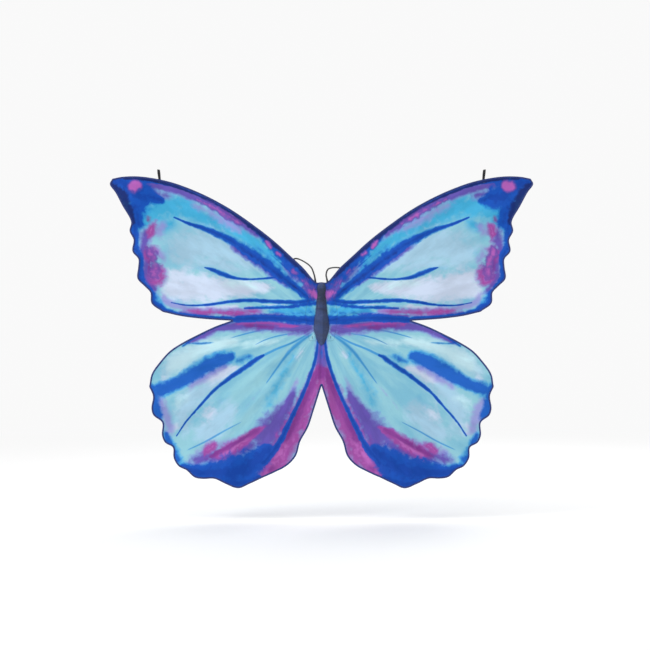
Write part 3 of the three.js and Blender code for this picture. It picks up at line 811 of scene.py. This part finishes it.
def addHem(name, runs, way):
    path = curveThrough(np.vstack([run[:-1] for run in runs[:-1]] + [runs[-1]]), hem["spacing"])
    flow = np.gradient(path, axis=0)
    for _ in range(3):  # the tape turns its corners over about 3 mm
        flow[1:-1] = (flow[:-2] + 2 * flow[1:-1] + flow[2:]) / 4
    flow = unit(flow)
    inward = np.stack([-flow[:, 1], flow[:, 0]], 1)
    along = lengthsAlong(path)
    rings, alongs, acrosses = [], [], []
    for p, n, s in zip(path, inward, along):
        rib = math.sin(2 * math.pi * s / hem["stitchPitch"])
        ring = []
        for k, (d, y) in enumerate(hem["section"]):
            flatPlace = p + n * d * mm
            x, z = way * flatPlace[0], flatPlace[1]
            swell = hem["stitchRise"] * rib * (1 if d < 3 else 0.2) * np.sign(y)
            ring.append((x, clothMid + float(clothLift(x, z)) + swell + y * mm, z))
            alongs.append(s)
            acrosses.append(k / (len(hem["section"]) - 1))
        rings.append(ring)
    piece = sweep(name, rings, overlockHem)
    setAttribute(piece, "along", alongs)
    setAttribute(piece, "across", acrosses)
    return piece


def runBetween(panel, a, b):
    # the edge run of a panel that goes from near a to near b, in mm
    for run in edgeRuns[panel]:
        if np.hypot(*(run[0] / mm - a)) < 12 and np.hypot(*(run[-1] / mm - b)) < 12:
            return run
    raise ValueError(f"no run on {panel} from {a} to {b}")


wingCorners = {
    "shoulder": np.array((118, 254.8)), "innerEnd": np.array((118, -443.1)), "tail": tailPoint / mm,
    "notch": notch / mm, "crotch": np.array((0, -178.0)),
}
tip = max((run[0] for run in edgeRuns["right_wing_panel"]), key=lambda p: p[0]) / mm
mirrorX = np.array((-1, 1))
hems = {}
bottomAndMargin = runBetween("right_wing_panel", wingCorners["notch"], tip)
leadingEdge = runBetween("right_wing_panel", tip, wingCorners["shoulder"])
innerTail = runBetween("right_wing_panel", wingCorners["innerEnd"], wingCorners["tail"])
hindEdge = runBetween("right_hindwing_panel", wingCorners["tail"], wingCorners["notch"])
neckEdge = runBetween("centre_panel", wingCorners["shoulder"], wingCorners["shoulder"] * mirrorX)
crotchRuns = [runBetween("centre_panel", wingCorners["innerEnd"] * mirrorX, wingCorners["crotch"]),
              runBetween("centre_panel", wingCorners["crotch"], wingCorners["innerEnd"])]
for side, way in sides:
    hems[f"{side}_forewing"] = addHem(f"{side}_forewing_overlock", [bottomAndMargin, leadingEdge], way)
    hems[f"{side}_inner"] = addHem(f"{side}_inner_overlock", [innerTail], way)
    hems[f"{side}_hindwing"] = addHem(f"{side}_hindwing_overlock", [hindEdge], way)
hems["neck"] = addHem("neck_overlock", [neckEdge], 1)
hems["crotch"] = addHem("crotch_overlock", crotchRuns, 1)
# overlock thread loops every 3 mm, dark ink blue, with a painted highlight along each loop
along, across = (addNode(tree, "Attribute", attribute_name=name) for name in ("along", "across"))
place = addNode(tree, "CombineXYZ", {"X": along, "Y": across})
slant = addNode(tree, "Math", {0: across, 1: 0.0022, 2: along}, operation="MULTIPLY_ADD")
loops = addNode(tree, "Math", {0: slant, 1: 2 * math.pi / hem["stitchPitch"]}, operation="MULTIPLY")
loops = addNode(tree, "Math", {0: loops}, operation="SINE")
fade = addNode(tree, "TexNoise", {"Vector": place, "Scale": 60.0, "Detail": 3.0})
# painted highlight: the crest of each loop is coloured lighter, over a random fade
loopHighlightAndFade = addNode(tree, "Math", {0: loops, 1: 0.22, 2: fade}, operation="MULTIPLY_ADD")
tint = addNode(tree, "MapRange", {"Value": loopHighlightAndFade, "From Min": 0.25, "From Max": 0.75},
               interpolation_type="SMOOTHSTEP")
dark = addNode(tree, "Mix", {"Factor": tint, 6: linear("#16235a"), 7: linear("#2b4391")}, data_type="RGBA")
threadBump = addNode(tree, "Bump", {"Strength": 0.6, "Distance": 0.0002, "Height": loops})
plug(shader, {"Base Color": dark.outputs[2], "Normal": threadBump})
print("hems ready:", len(hems))


# Stuffed body: a crowned satin pouch, pressed flat where it is sewn down

body = {
    "outline": [(0, -50), (9, -42), (17.5, -22), (23.5, 0), (24, 20), (19.5, 52), (16, 86), (12, 118),
                (14, 138), (8.5, 150), (0, 153)],
    "crown": 0.40,  # height of the stuffing to half its width
    "step": 0.0016,
    "spare": 0.05,  # more cloth than the form needs, which makes the puckers
    "frames": 26,
    "mostMove": 0.0024,
    "ridge": 0.0035,  # x of the topstitched crease
    "depths": {"crease": 0.0009, "pucker": 0.00045, "fold": 0.0008},
    "tailRise": 0.016, "headRise": 0.011,  # over which the stuffing rises at the ends
    # cross folds: height at the middle, slope, width, depth
    "folds": [(0.124, 0.35, 0.0022, 0.9), (0.108, -0.5, 0.003, 0.7), (0.078, 0.3, 0.0035, 0.6),
              (0.050, -0.25, 0.004, 0.55), (0.018, 0.2, 0.004, 0.35)],
}
ridgeX = body["ridge"]
bodyFront, bodyBack = (corner.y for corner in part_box("body_cover"))
bodyEdge = curveThrough(body["outline"], 0.5) * mm


def bodyHalfAt(z):
    order = np.argsort(bodyEdge[:, 1])
    return np.interp(z, bodyEdge[order, 1], bodyEdge[order, 0])


bodySatin, tree, shader = newMaterial("slate_satin_cover", {
    "Roughness": 0.42, "Specular IOR Level": 0.45, "Sheen Weight": 0.2})
bodyLoop = np.vstack([bodyEdge, (bodyEdge * (-1, 1))[::-1][1:-1]])
bodyLoop = curveThrough(bodyLoop, body["step"], closed=True)
bodyPoints, bodyFaces = flatMesh(bodyLoop, body["step"])
halfHere = np.maximum(bodyHalfAt(bodyPoints[:, 1]), 1e-6)
acrossBody = np.clip(np.abs(bodyPoints[:, 0]) / halfHere, 0, 1)
tailZ, headZ = (body["outline"][k][1] * mm for k in (0, -1))
endways = np.minimum((bodyPoints[:, 1] - tailZ) / body["tailRise"],
                     (headZ - bodyPoints[:, 1]) / body["headRise"])
rise = body["crown"] * halfHere * np.sqrt(np.clip(1 - acrossBody ** 2.3, 0, 1)) * np.clip(endways, 0, 1) ** 0.5
rim = np.zeros(len(bodyPoints), bool)
rim[:len(bodyLoop)] = True
rise[rim] = 0
domed = np.stack([bodyPoints[:, 0], bodyBack - 0.0004 - rise, bodyPoints[:, 1]], 1)
bodyPiece = newPiece("body_pouch", domed, [f[::-1] for f in bodyFaces], bodySatin)
pins = bodyPiece.vertex_groups.new(name="sewn")
pins.add([int(i) for i in np.nonzero(rim)[0]], 1.0, "REPLACE")
stuffing = bodyPiece.modifiers.new("cloth", "CLOTH")
for key, value in {"vertex_group_mass": "sewn", "use_pressure": True, "uniform_pressure_force": 3.0,
                   "tension_stiffness": 20, "compression_stiffness": 20, "bending_stiffness": 0.4,
                   "shrink_min": -body["spare"], "quality": 8, "mass": 0.2}.items():
    setattr(stuffing.settings, key, value)
stuffing.settings.effector_weights.gravity = 0
bpy.context.scene.frame_start = 1
for frameNumber in range(1, body["frames"] + 1):
    bpy.context.scene.frame_set(frameNumber)
settled = bodyPiece.evaluated_get(bpy.context.evaluated_depsgraph_get())
soft = vertexPlaces(settled)
bodyPiece.modifiers.remove(stuffing)
bodyPiece.vertex_groups.clear()
bpy.context.scene.frame_set(1)
move = soft - domed
far = np.linalg.norm(move, axis=1)
move *= np.minimum(1, body["mostMove"] / np.maximum(far, 1e-9))[:, None]
domed = domed + move
domed[:, 1] = np.clip(domed[:, 1], bodyFront, bodyBack - 0.0003)
print(f"body stuffed, moved up to {far.max() * 1000:.1f} mm")
# the topstitched crease a little right of the middle, and the darts that pucker the head
upBody = bodyPoints[:, 1]
crease = np.exp(-((domed[:, 0] - ridgeX) / 0.0016) ** 2)
crease *= smoothStep(-0.046, -0.03, upBody) * (1 - smoothStep(0.128, 0.146, upBody))
pucker = np.sin(upBody / 0.0042 + 1.3 * np.sin(upBody / 0.017)) * acrossBody ** 4 * (1 - acrossBody ** 8)
folds = sum(np.exp(-((upBody - z0 - slope * bodyPoints[:, 0]) / width) ** 2) * depth
            for z0, slope, width, depth in body["folds"])
folds *= (1 - acrossBody ** 6) * np.clip(rise / 0.004, 0, 1)
depths = body["depths"]
domed[:, 1] += ~rim * (depths["crease"] * crease + depths["pucker"] * pucker + depths["fold"] * folds)
domed[:, 1] = np.clip(domed[:, 1], bodyFront, bodyBack - 0.0003)
bodyPiece.data.vertices.foreach_set("co", domed.ravel())
# the pouch is closed by its flat back, which lies on the cloth
mesh = bmesh.new()
mesh.from_mesh(bodyPiece.data)
shell = list(mesh.faces)
copy = bmesh.ops.duplicate(mesh, geom=list(mesh.verts) + list(mesh.edges) + shell)
for v in copy["geom"]:
    if isinstance(v, bmesh.types.BMVert):
        v.co.y = bodyBack
backFaces = [f for f in copy["geom"] if isinstance(f, bmesh.types.BMFace)]
bmesh.ops.reverse_faces(mesh, faces=backFaces)
openEdges = [e for e in mesh.edges if e.is_boundary]
bmesh.ops.bridge_loops(mesh, edges=openEdges)
bmesh.ops.recalc_face_normals(mesh, faces=mesh.faces)
for f in mesh.faces:
    f.smooth = True
mesh.to_mesh(bodyPiece.data)
mesh.free()
bodyPlaces = flatPattern(bodyPiece)
# painted shade: marks the half right of the crease, which is coloured darker as if turned away from the light
setAttribute(bodyPiece, "shadedHalf", smoothStep(ridgeX - 0.001, ridgeX + 0.0015, bodyPlaces[:, 0]))
heights = bodyPlaces[:, 2]
nape = smoothStep(0.070, 0.100, heights) * (1 - 0.75 * smoothStep(0.128, 0.142, heights))
slantedHeights = heights + 0.25 * bodyPlaces[:, 0]
for z0, width, depth in ((0.068, 0.006, 0.8), (0.022, 0.008, 0.35), (-0.016, 0.006, 0.3)):
    nape = np.maximum(nape, depth * np.exp(-((slantedHeights - z0) / width) ** 2))
setAttribute(bodyPiece, "nape", nape)
# slate satin; the half right of the topstitched crease is painted darker, as painted shade for the side turned
# away from the light
flat, shadedHalf, nape = (addNode(tree, "Attribute", attribute_name=name) for name in ("flat", "shadedHalf", "nape"))
cloudy = addNode(tree, "TexNoise", {"Vector": flat, "Scale": 70.0, "Detail": 4.0})
weave = addNode(tree, "TexWave", {"Vector": flat, "Scale": 420.0, "Distortion": 1.0, "Detail": 1.0},
                wave_type="BANDS", bands_direction="DIAGONAL")
tone = addNode(tree, "Mix", {"Factor": cloudy, 6: linear("#2e4373"), 7: linear("#40558a")}, data_type="RGBA")
turned = addNode(tree, "Mix", {"Factor": shadedHalf, 6: tone.outputs[2], 7: linear("#253965")}, data_type="RGBA")
# the narrow nape and its cross folds lie away from the light and stay dark
napeShare = addNode(tree, "Math", {0: nape, 1: 0.75}, operation="MULTIPLY")
napeTone = addNode(tree, "Mix", {"Factor": napeShare, 6: turned.outputs[2], 7: linear("#0e1838")},
                   data_type="RGBA")
warp = addNode(tree, "Mix", {"Factor": 0.25, 6: napeTone.outputs[2], 7: weave.outputs["Color"]},
               data_type="RGBA", blend_type="MULTIPLY")
weaveBump = addNode(tree, "Bump", {"Strength": 0.4, "Distance": 0.0001, "Height": weave})
plug(shader, {"Base Color": warp.outputs[2], "Normal": weaveBump})
print("body ready")


# Sewing thread: seams, dashes and bar tacks

thread = {"radius": 0.00034, "fine": 0.00024, "zigzagPitch": 0.0021, "zigzag": (0.0003, 0.0019), "dash": 0.003,
          "gap": 0.0012}
spunThread, tree, shader = newMaterial("spun_polyester_thread", {"Roughness": 0.6, "Specular IOR Level": 0.35})
# dark blue sewing thread, with its two plies twisted every 0.9 mm
place = addNode(tree, "TexCoord")
ply = addNode(tree, "TexWave", {"Vector": place.outputs["Object"], "Scale": 350.0, "Distortion": 0.5},
              wave_type="BANDS", bands_direction="DIAGONAL")
tone = addNode(tree, "Mix", {"Factor": ply, 6: linear("#1c2c5e"), 7: linear("#3e558f")}, data_type="RGBA")
plyBump = addNode(tree, "Bump", {"Strength": 0.5, "Distance": 0.0001, "Height": ply})
plug(shader, {"Base Color": tone.outputs[2], "Normal": plyBump})

seamY = middleOf("body_seam").y
seamLoop = curveThrough(bodyLoop, thread["zigzagPitch"] / 2, closed=True)
if len(seamLoop) % 2:  # a zigzag closes on itself only with an even count
    seamLoop = curveThrough(bodyLoop, lengthsAlong(bodyLoop)[-1] / (len(seamLoop) + 1), closed=True)
seamFlow = unit(np.roll(seamLoop, -1, axis=0) - np.roll(seamLoop, 1, axis=0))
seamOut = np.stack([seamFlow[:, 1], -seamFlow[:, 0]], 1)
if (seamOut[len(seamOut) // 4] * (seamLoop[len(seamOut) // 4] - (0, 0.05))).sum() < 0:
    seamOut = -seamOut
zig = np.where(np.arange(len(seamLoop)) % 2 == 0, *thread["zigzag"])
zigPath = seamLoop + seamOut * zig[:, None]
zigPath = np.stack([zigPath[:, 0], np.full(len(zigPath), seamY), zigPath[:, 1]], 1)
seamPiece = sweep("body_zigzag_seam", threadTube(zigPath, thread["fine"], closed=True), spunThread, closed=True)


def dashes(name, path, heightAt):
    # running stitches along a path of x and z
    pieces = []
    lengths = lengthsAlong(path)
    pitch = thread["dash"] + thread["gap"]
    for k in range(int(lengths[-1] / pitch)):
        at = np.linspace(k * pitch, k * pitch + thread["dash"], 5)
        x, z = np.interp(at, lengths, path[:, 0]), np.interp(at, lengths, path[:, 1])
        pieces.append(sweep(name, threadTube(np.stack([x, heightAt(x, z), z], 1), thread["radius"]),
                            spunThread))
    return joined(name, pieces)


# Yoke: a patch of the same satin behind the body, its edge folded under and stitched down

yoke = {
    "step": 0.002,
    "side": [(30, 135), (45, 99), (54, 58), (50.5, 10), (43, -33)],
    "top": 140, "bottom": -38, "corner": 5,
    "stitchInset": 3.0,
    "wall": 0.0006,
}
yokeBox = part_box("yoke")


def yokeLoop(inset):
    rightSide = curveThrough([(x - inset, z) for x, z in yoke["side"]], 2.0)
    topX, topZ = yoke["side"][0][0] - inset, yoke["top"] - inset
    lowX, lowZ = yoke["side"][-1][0] - inset, yoke["bottom"] + inset
    turn = yoke["corner"]
    angles = np.linspace(0, math.pi / 2, 5)
    arcTop = [(topX - turn * (1 - math.sin(a)), topZ - turn * (1 - math.cos(a))) for a in angles]
    arcLow = [(lowX - turn * (1 - math.cos(a)), lowZ + turn * (1 - math.sin(a))) for a in angles]
    rightSide = [p for p in rightSide if lowZ + turn < p[1] < topZ - turn]
    half = np.array(arcTop + rightSide + arcLow)
    return np.vstack([half, (half * (-1, 1))[::-1]]) * mm


yokeRim = curveThrough(yokeLoop(0.2), yoke["step"], closed=True)
yokePoints, yokeFaces = flatMesh(yokeRim[::-1], yoke["step"])
yokeTree = rimTree(yokeRim)
fromRim = np.array([yokeTree.find((*p, 0))[2] for p in yokePoints])
# folded edge 7 mm wide, a stitch line pressed in 3 mm from the rim, and slack cloth in the middle
foldedEdge = 1 - smoothStep(0.0062, 0.0078, fromRim)
stitched = np.exp(-((fromRim - yoke["stitchInset"] * mm) / 0.0007) ** 2)
slackWave = np.sin(yokePoints[:, 0] * 95 + 2) * np.cos(yokePoints[:, 1] * 60 + 1)
slack = smoothStep(0.006, 0.03, fromRim) * (0.5 + 0.5 * slackWave)
yokeBackY = yokeBox[1].y - 0.00002
yokeDown = 0.00012 + 0.00028 * (1 - foldedEdge) * (1 - slack) + 0.0002 * stitched
backSkin = np.stack([yokePoints[:, 0], yokeBackY - yokeDown, yokePoints[:, 1]], 1)
frontSkin = backSkin - np.stack([0 * fromRim, yoke["wall"] * (0.55 + 0.45 * foldedEdge) - 0.0001 * stitched,
                                 0 * fromRim], 1)
count = len(yokePoints)
rimCount = len(yokeRim)
faces = [tuple(f) for f in yokeFaces]
closing = [(k, (k + 1) % rimCount, (k + 1) % rimCount + count, k + count) for k in range(rimCount)]
yokePiece = newPiece("yoke_patch", np.vstack([backSkin, frontSkin]),
                     faces + [tuple(i + count for i in reversed(f)) for f in faces] + closing, printedSatin)
outward(yokePiece)
yokePlaces = flatPattern(yokePiece)
for name in brushStrokes:
    setAttribute(yokePiece, name, np.zeros(len(yokePlaces)))
yokeFlow = np.stack([yokePlaces[:, 2] * 0.4, yokePlaces[:, 0] * 0.4, 0 * yokePlaces[:, 0]], 1)
setAttribute(yokePiece, "flow", yokeFlow, "FLOAT_VECTOR")
setAttribute(yokePiece, "reverse", np.ones(len(yokePlaces)))
stitchLine = curveThrough(yokeLoop(yoke["stitchInset"]), 1.0 * mm, closed=True)
stitchLine = np.vstack([stitchLine, stitchLine[:1]])
stitchDip = np.array([0.00022, 0.00004, 0, 0.00004, 0.00022])  # both ends of a stitch sink into the cloth
backStitches = dashes("yoke_back_stitches", stitchLine, lambda x, z: yokeBackY - 0.00028 + stitchDip)


def onFront(x, z):
    return clothMid + clothLift(x, z) - cloth["thickness"] / 2 - 0.00018 + stitchDip


# on the outside the same line shows beside the body
frontStitches = {}
for side, way in sides:
    order = np.array([p for p in stitchLine if p[0] * way > (0.019 if p[1] > 0.1 else 0.0185)])
    breaks = np.nonzero(np.linalg.norm(np.diff(order, axis=0), axis=1) > 0.004)[0]
    if len(breaks):
        order = np.vstack([order[breaks[0] + 1:], order[:breaks[0] + 1]])
    frontStitches[side] = dashes(f"{side}_yoke_front_stitches", order, onFront)
print("yoke ready")


# Elastic: shoulder straps and hand loops

elastic = {
    "width": 0.008,
    "wall": 0.0012,
    "round": 0.0004,
    "step": 0.0016,
}
braidedElastic, tree, shader = newMaterial("braided_black_elastic", {
    "Roughness": 0.72, "Specular IOR Level": 0.3, "Sheen Weight": 0.25})
# black braided elastic: chevron ribs 1.3 mm apart along the band, dull
along, across = (addNode(tree, "Attribute", attribute_name=name) for name in ("along", "across"))
fromMiddle = addNode(tree, "Math", {0: across}, operation="ABSOLUTE")
chevron = addNode(tree, "Math", {0: fromMiddle, 1: 0.6, 2: along}, operation="MULTIPLY_ADD")
chevron = addNode(tree, "Math", {0: chevron, 1: 2 * math.pi / 0.0013}, operation="MULTIPLY")
ribsAlong = addNode(tree, "Math", {0: chevron}, operation="SINE")
cords = addNode(tree, "Math", {0: across, 1: 2 * math.pi / 0.0011}, operation="MULTIPLY")
cords = addNode(tree, "Math", {0: cords}, operation="COSINE")
braid = addNode(tree, "Math", {0: ribsAlong, 1: 0.5, 2: cords}, operation="MULTIPLY_ADD")
lightness = addNode(tree, "MapRange", {"Value": braid, "From Min": -1.4, "From Max": 1.5},
                    interpolation_type="SMOOTHSTEP")
tone = addNode(tree, "Mix", {"Factor": lightness, 6: linear("#101013"), 7: linear("#2d2c31")}, data_type="RGBA")
braidBump = addNode(tree, "Bump", {"Strength": 0.7, "Distance": 0.00025, "Height": braid})
plug(shader, {"Base Color": tone.outputs[2], "Normal": braidBump})


def addBand(name, places, widthWays):
    # an elastic band: places are its middle line, widthWays the way its width lies at each
    dense = curveThrough(np.hstack([places, widthWays]), elastic["step"])
    centre, wide = dense[:, :3], dense[:, 3:]
    flow = np.gradient(centre, axis=0)
    flow = unit(flow)
    wide = unit(wide - flow * (wide * flow).sum(1)[:, None])
    thick = np.cross(flow, wide)
    halfWidth, halfWall, bend = elastic["width"] / 2, elastic["wall"] / 2, elastic["round"]
    # half of the section, and then the same half turned over
    section = [(-halfWidth + bend + (2 * halfWidth - 2 * bend) * k / 6, -halfWall) for k in range(7)]
    section += [(halfWidth - bend * 0.3, -halfWall + bend * 0.3), (halfWidth, 0),
                (halfWidth - bend * 0.3, halfWall - bend * 0.3)]
    section += [(-u, -v) for u, v in section]
    along = lengthsAlong(centre)
    rings = [[c + u * w + v * t for u, v in section] for c, w, t in zip(centre, wide, thick)]
    piece = sweep(name, rings, braidedElastic)
    setAttribute(piece, "along", np.repeat(along, len(section)))
    setAttribute(piece, "across", np.tile([u for u, _ in section], len(rings)))
    return piece


strapRoutes = {
    "left": [(24, 180), (34, 204), (60, 224), (86, 232), (101, 218), (104, 180), (102, 120), (93, 60),
             (78, 10)],
    "right": [(15, 178), (21, 197), (42, 203), (68, 199), (90, 180), (103, 140), (103, 90), (93, 35), (78, 0)],
}
headX, tabY = (value / mm for value in middleOf("right_strap_head")[:2])
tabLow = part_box("right_strap_head")[0].z / mm
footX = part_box("right_strap_foot")[0].x / mm
footZ = middleOf("right_strap_foot").z / mm
routeY = middleOf("right_strap").y / mm
straps = {}
for side, way in sides:
    path = [
        # place in mm and the way the width lies: flat under the yoke, then turned on its edge
        ((headX, tabY, tabLow), (1, 0, 0)),
        ((headX, tabY, 132), (1, 0, 0)),
        ((headX, tabY, 145), (1, 0, 0)),
        ((headX, tabY + 1.2, 152), (0.95, 0.3, 0)),
        ((headX + (0.3 if way < 0 else -1.2), 1.2, 160), (0.75, 0.65, 0)),
        ((headX + (1.5 if way < 0 else -3.2), routeY, 169), (0.72, 0.9, 0)),
    ]
    route = strapRoutes[side]
    # it leans a little where it leaves the body and where it dips behind the wing
    for k, (x, z) in enumerate(route):
        before, after = route[max(k - 1, 0)], route[min(k + 1, len(route) - 1)]
        lean = 0.14 + 0.55 * (1 - smoothStep(0, 3, k)) + 0.45 * math.exp(-((k - 3.5) / 1.6) ** 2)
        run = math.hypot(after[0] - before[0], after[1] - before[1])
        path.append(((x, routeY, z), (lean * (after[1] - before[1]) / run, 1,
                                      -lean * (after[0] - before[0]) / run)))
    path += [
        ((67, routeY - 0.4, -12), (0, 1, 0.1)),
        ((61, 0.9, -20), (0, 0.75, 0.65)),
        ((55, -1.1, -23.4), (0, 0.25, 0.97)),
        ((49, tabY, footZ), (0, 0, 1)),
        ((38, tabY, footZ), (0, 0, 1)),
        ((footX, tabY, footZ), (0, 0, 1)),
    ]
    places = np.array([(way * p[0], p[1], p[2]) for p, _ in path]) * mm
    ways = np.array([(way * w[0], w[1], w[2]) for _, w in path]) * 0.01
    straps[side] = addBand(f"{side}_shoulder_elastic", places, ways)

handLoop = {
    # across the cloth (Y) and up from the cloth's edge, in mm
    "path": [(-1.1, -13), (-1.1, -6), (-1.15, -1.5), (-2.6, 3.5), (-6, 10), (-10.0, 18), (-9.6, 25.5),
             (-6.4, 30.4), (-2.9, 31.6), (0.8, 29.8), (3.4, 24.5),
             (3.6, 17), (1.0, 9.5), (-0.4, 4), (0.1, -1), (0.12, -7), (0.12, -13)],
    "lean": 16,
    "seat": (526.0, 487.94),
    "along": (0.98323, 0.18239),
}
loops = {}
for side, way in sides:
    edgeWay = np.array((way * handLoop["along"][0], 0, handLoop["along"][1]))
    up = np.array((-way * handLoop["along"][1], 0, handLoop["along"][0]))
    seat = np.array((way * handLoop["seat"][0], 0, handLoop["seat"][1])) * mm
    lean = math.tan(math.radians(handLoop["lean"]))
    places = np.array([seat + (up * n + edgeWay * max(n, 0) * lean) * mm + np.array((0, y, 0)) * mm
                       for y, n in handLoop["path"]])
    ways = np.array([edgeWay * 0.01 for _ in handLoop["path"]])
    loops[side] = addBand(f"{side}_finger_elastic", places, ways)
print("elastic ready")


# Bar tacks: close rows of thread over each sewn end, whose ends sink into the cloth

tack = {"pitch": 0.00048, "radius": 0.00022, "sink": 0.0002, "facets": 5}


def barTack(name, box, alongX, slant=0.0):
    low, high = np.array(box[0]), np.array(box[1])
    centre = (low + high) / 2
    long, across = (high - low)[[0, 2]] if alongX else (high - low)[[2, 0]]
    count = max(int(long / tack["pitch"]), 6)
    pieces = []
    turn = np.array([[math.cos(slant), -math.sin(slant)], [math.sin(slant), math.cos(slant)]])
    for k in range(count):
        u = (k + 0.5) / count * long - long / 2
        points = []
        for t, share in ((-0.5, 1), (-0.3, 0.1), (0.3, 0.1), (0.5, 1)):
            spot = turn @ (np.array((u, t * across)) if alongX else np.array((t * across, u)))
            points.append((centre[0] + spot[0], centre[1] + tack["sink"] * share, centre[2] + spot[1]))
        pieces.append(sweep(name, threadTube(points, tack["radius"], facets=tack["facets"]), spunThread))
    piece = joined(name, pieces)
    return piece


tacks = {}
for side, way in sides:
    tacks[f"{side}_head_tack"] = barTack(f"{side}_head_bar_tack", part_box(f"{side}_head_tack"), True)
    tacks[f"{side}_foot_tack"] = barTack(f"{side}_foot_bar_tack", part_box(f"{side}_foot_tack"), False)
    tacks[f"{side}_hand_tack"] = barTack(f"{side}_hand_bar_tack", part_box(f"{side}_hand_tack"), True,
                                         way * math.atan2(*handLoop["along"][::-1]))
print("bar tacks ready")


# What each piece moves with

for piece, replaced in (
    (sheets["centre"], ["centre_panel"]),
    (hems["neck"], ["left_neck_hem", "right_neck_hem"]),
    (hems["crotch"], ["left_crotch_hem", "right_crotch_hem"]),
    (bodyPiece, ["body_cover", "body_wadding"]),
    (seamPiece, ["body_seam"]),
    (yokePiece, ["yoke"]),
    (backStitches, []),
    (frontStitches["left"], ["left_yoke_stitching"]),
    (frontStitches["right"], ["right_yoke_stitching"]),
    *((tacks[f"{side}_{end}_tack"], [f"{side}_{end}_tack"]) for side, _ in sides for end in ("head", "foot")),
):
    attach(piece, "spine")
    if replaced:
        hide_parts(*replaced)

for side, way in sides:
    for piece, node in ((sheets[f"{side}_wing"], "wing_panel"), (hems[f"{side}_forewing"], "forewing_hem"),
                        (hems[f"{side}_inner"], "inner_hem")):
        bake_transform(piece)
        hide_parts(f"{side}_{node}")
    for piece, node in ((sheets[f"{side}_hindwing"], "hindwing_panel"),
                        (hems[f"{side}_hindwing"], "hindwing_hem")):
        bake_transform(piece)
        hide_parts(f"{side}_{node}")
    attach(tacks[f"{side}_hand_tack"], f"{side}_wing")
    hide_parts(f"{side}_hand_tack")
    hinge = joints[f"{side}_shoulder_strap_swing"]
    hingePlace, hingeWay = Vector(hinge["pos_m"]), Vector(hinge["axis"]).normalized()
    outWay = hingeWay.cross(Vector((0, 1, 0)))
    outWay *= 1 if outWay.x * way > 0 else -1
    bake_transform(straps[side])
    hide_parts(f"{side}_strap", f"{side}_strap_head", f"{side}_strap_foot")
    pivot = joints[f"{side}_hand_loop_swing"]
    pivotPlace, pivotWay = Vector(pivot["pos_m"]), Vector(pivot["axis"]).normalized()
    upWay = pivotWay.cross(Vector((0, 1, 0)))
    upWay *= 1 if upWay.z > 0 else -1
    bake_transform(loops[side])
    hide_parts(f"{side}_hand_loop", f"{side}_hand_loop_tab")

for name, piece in sheets.items():
    size, area = sheetSizes[name]
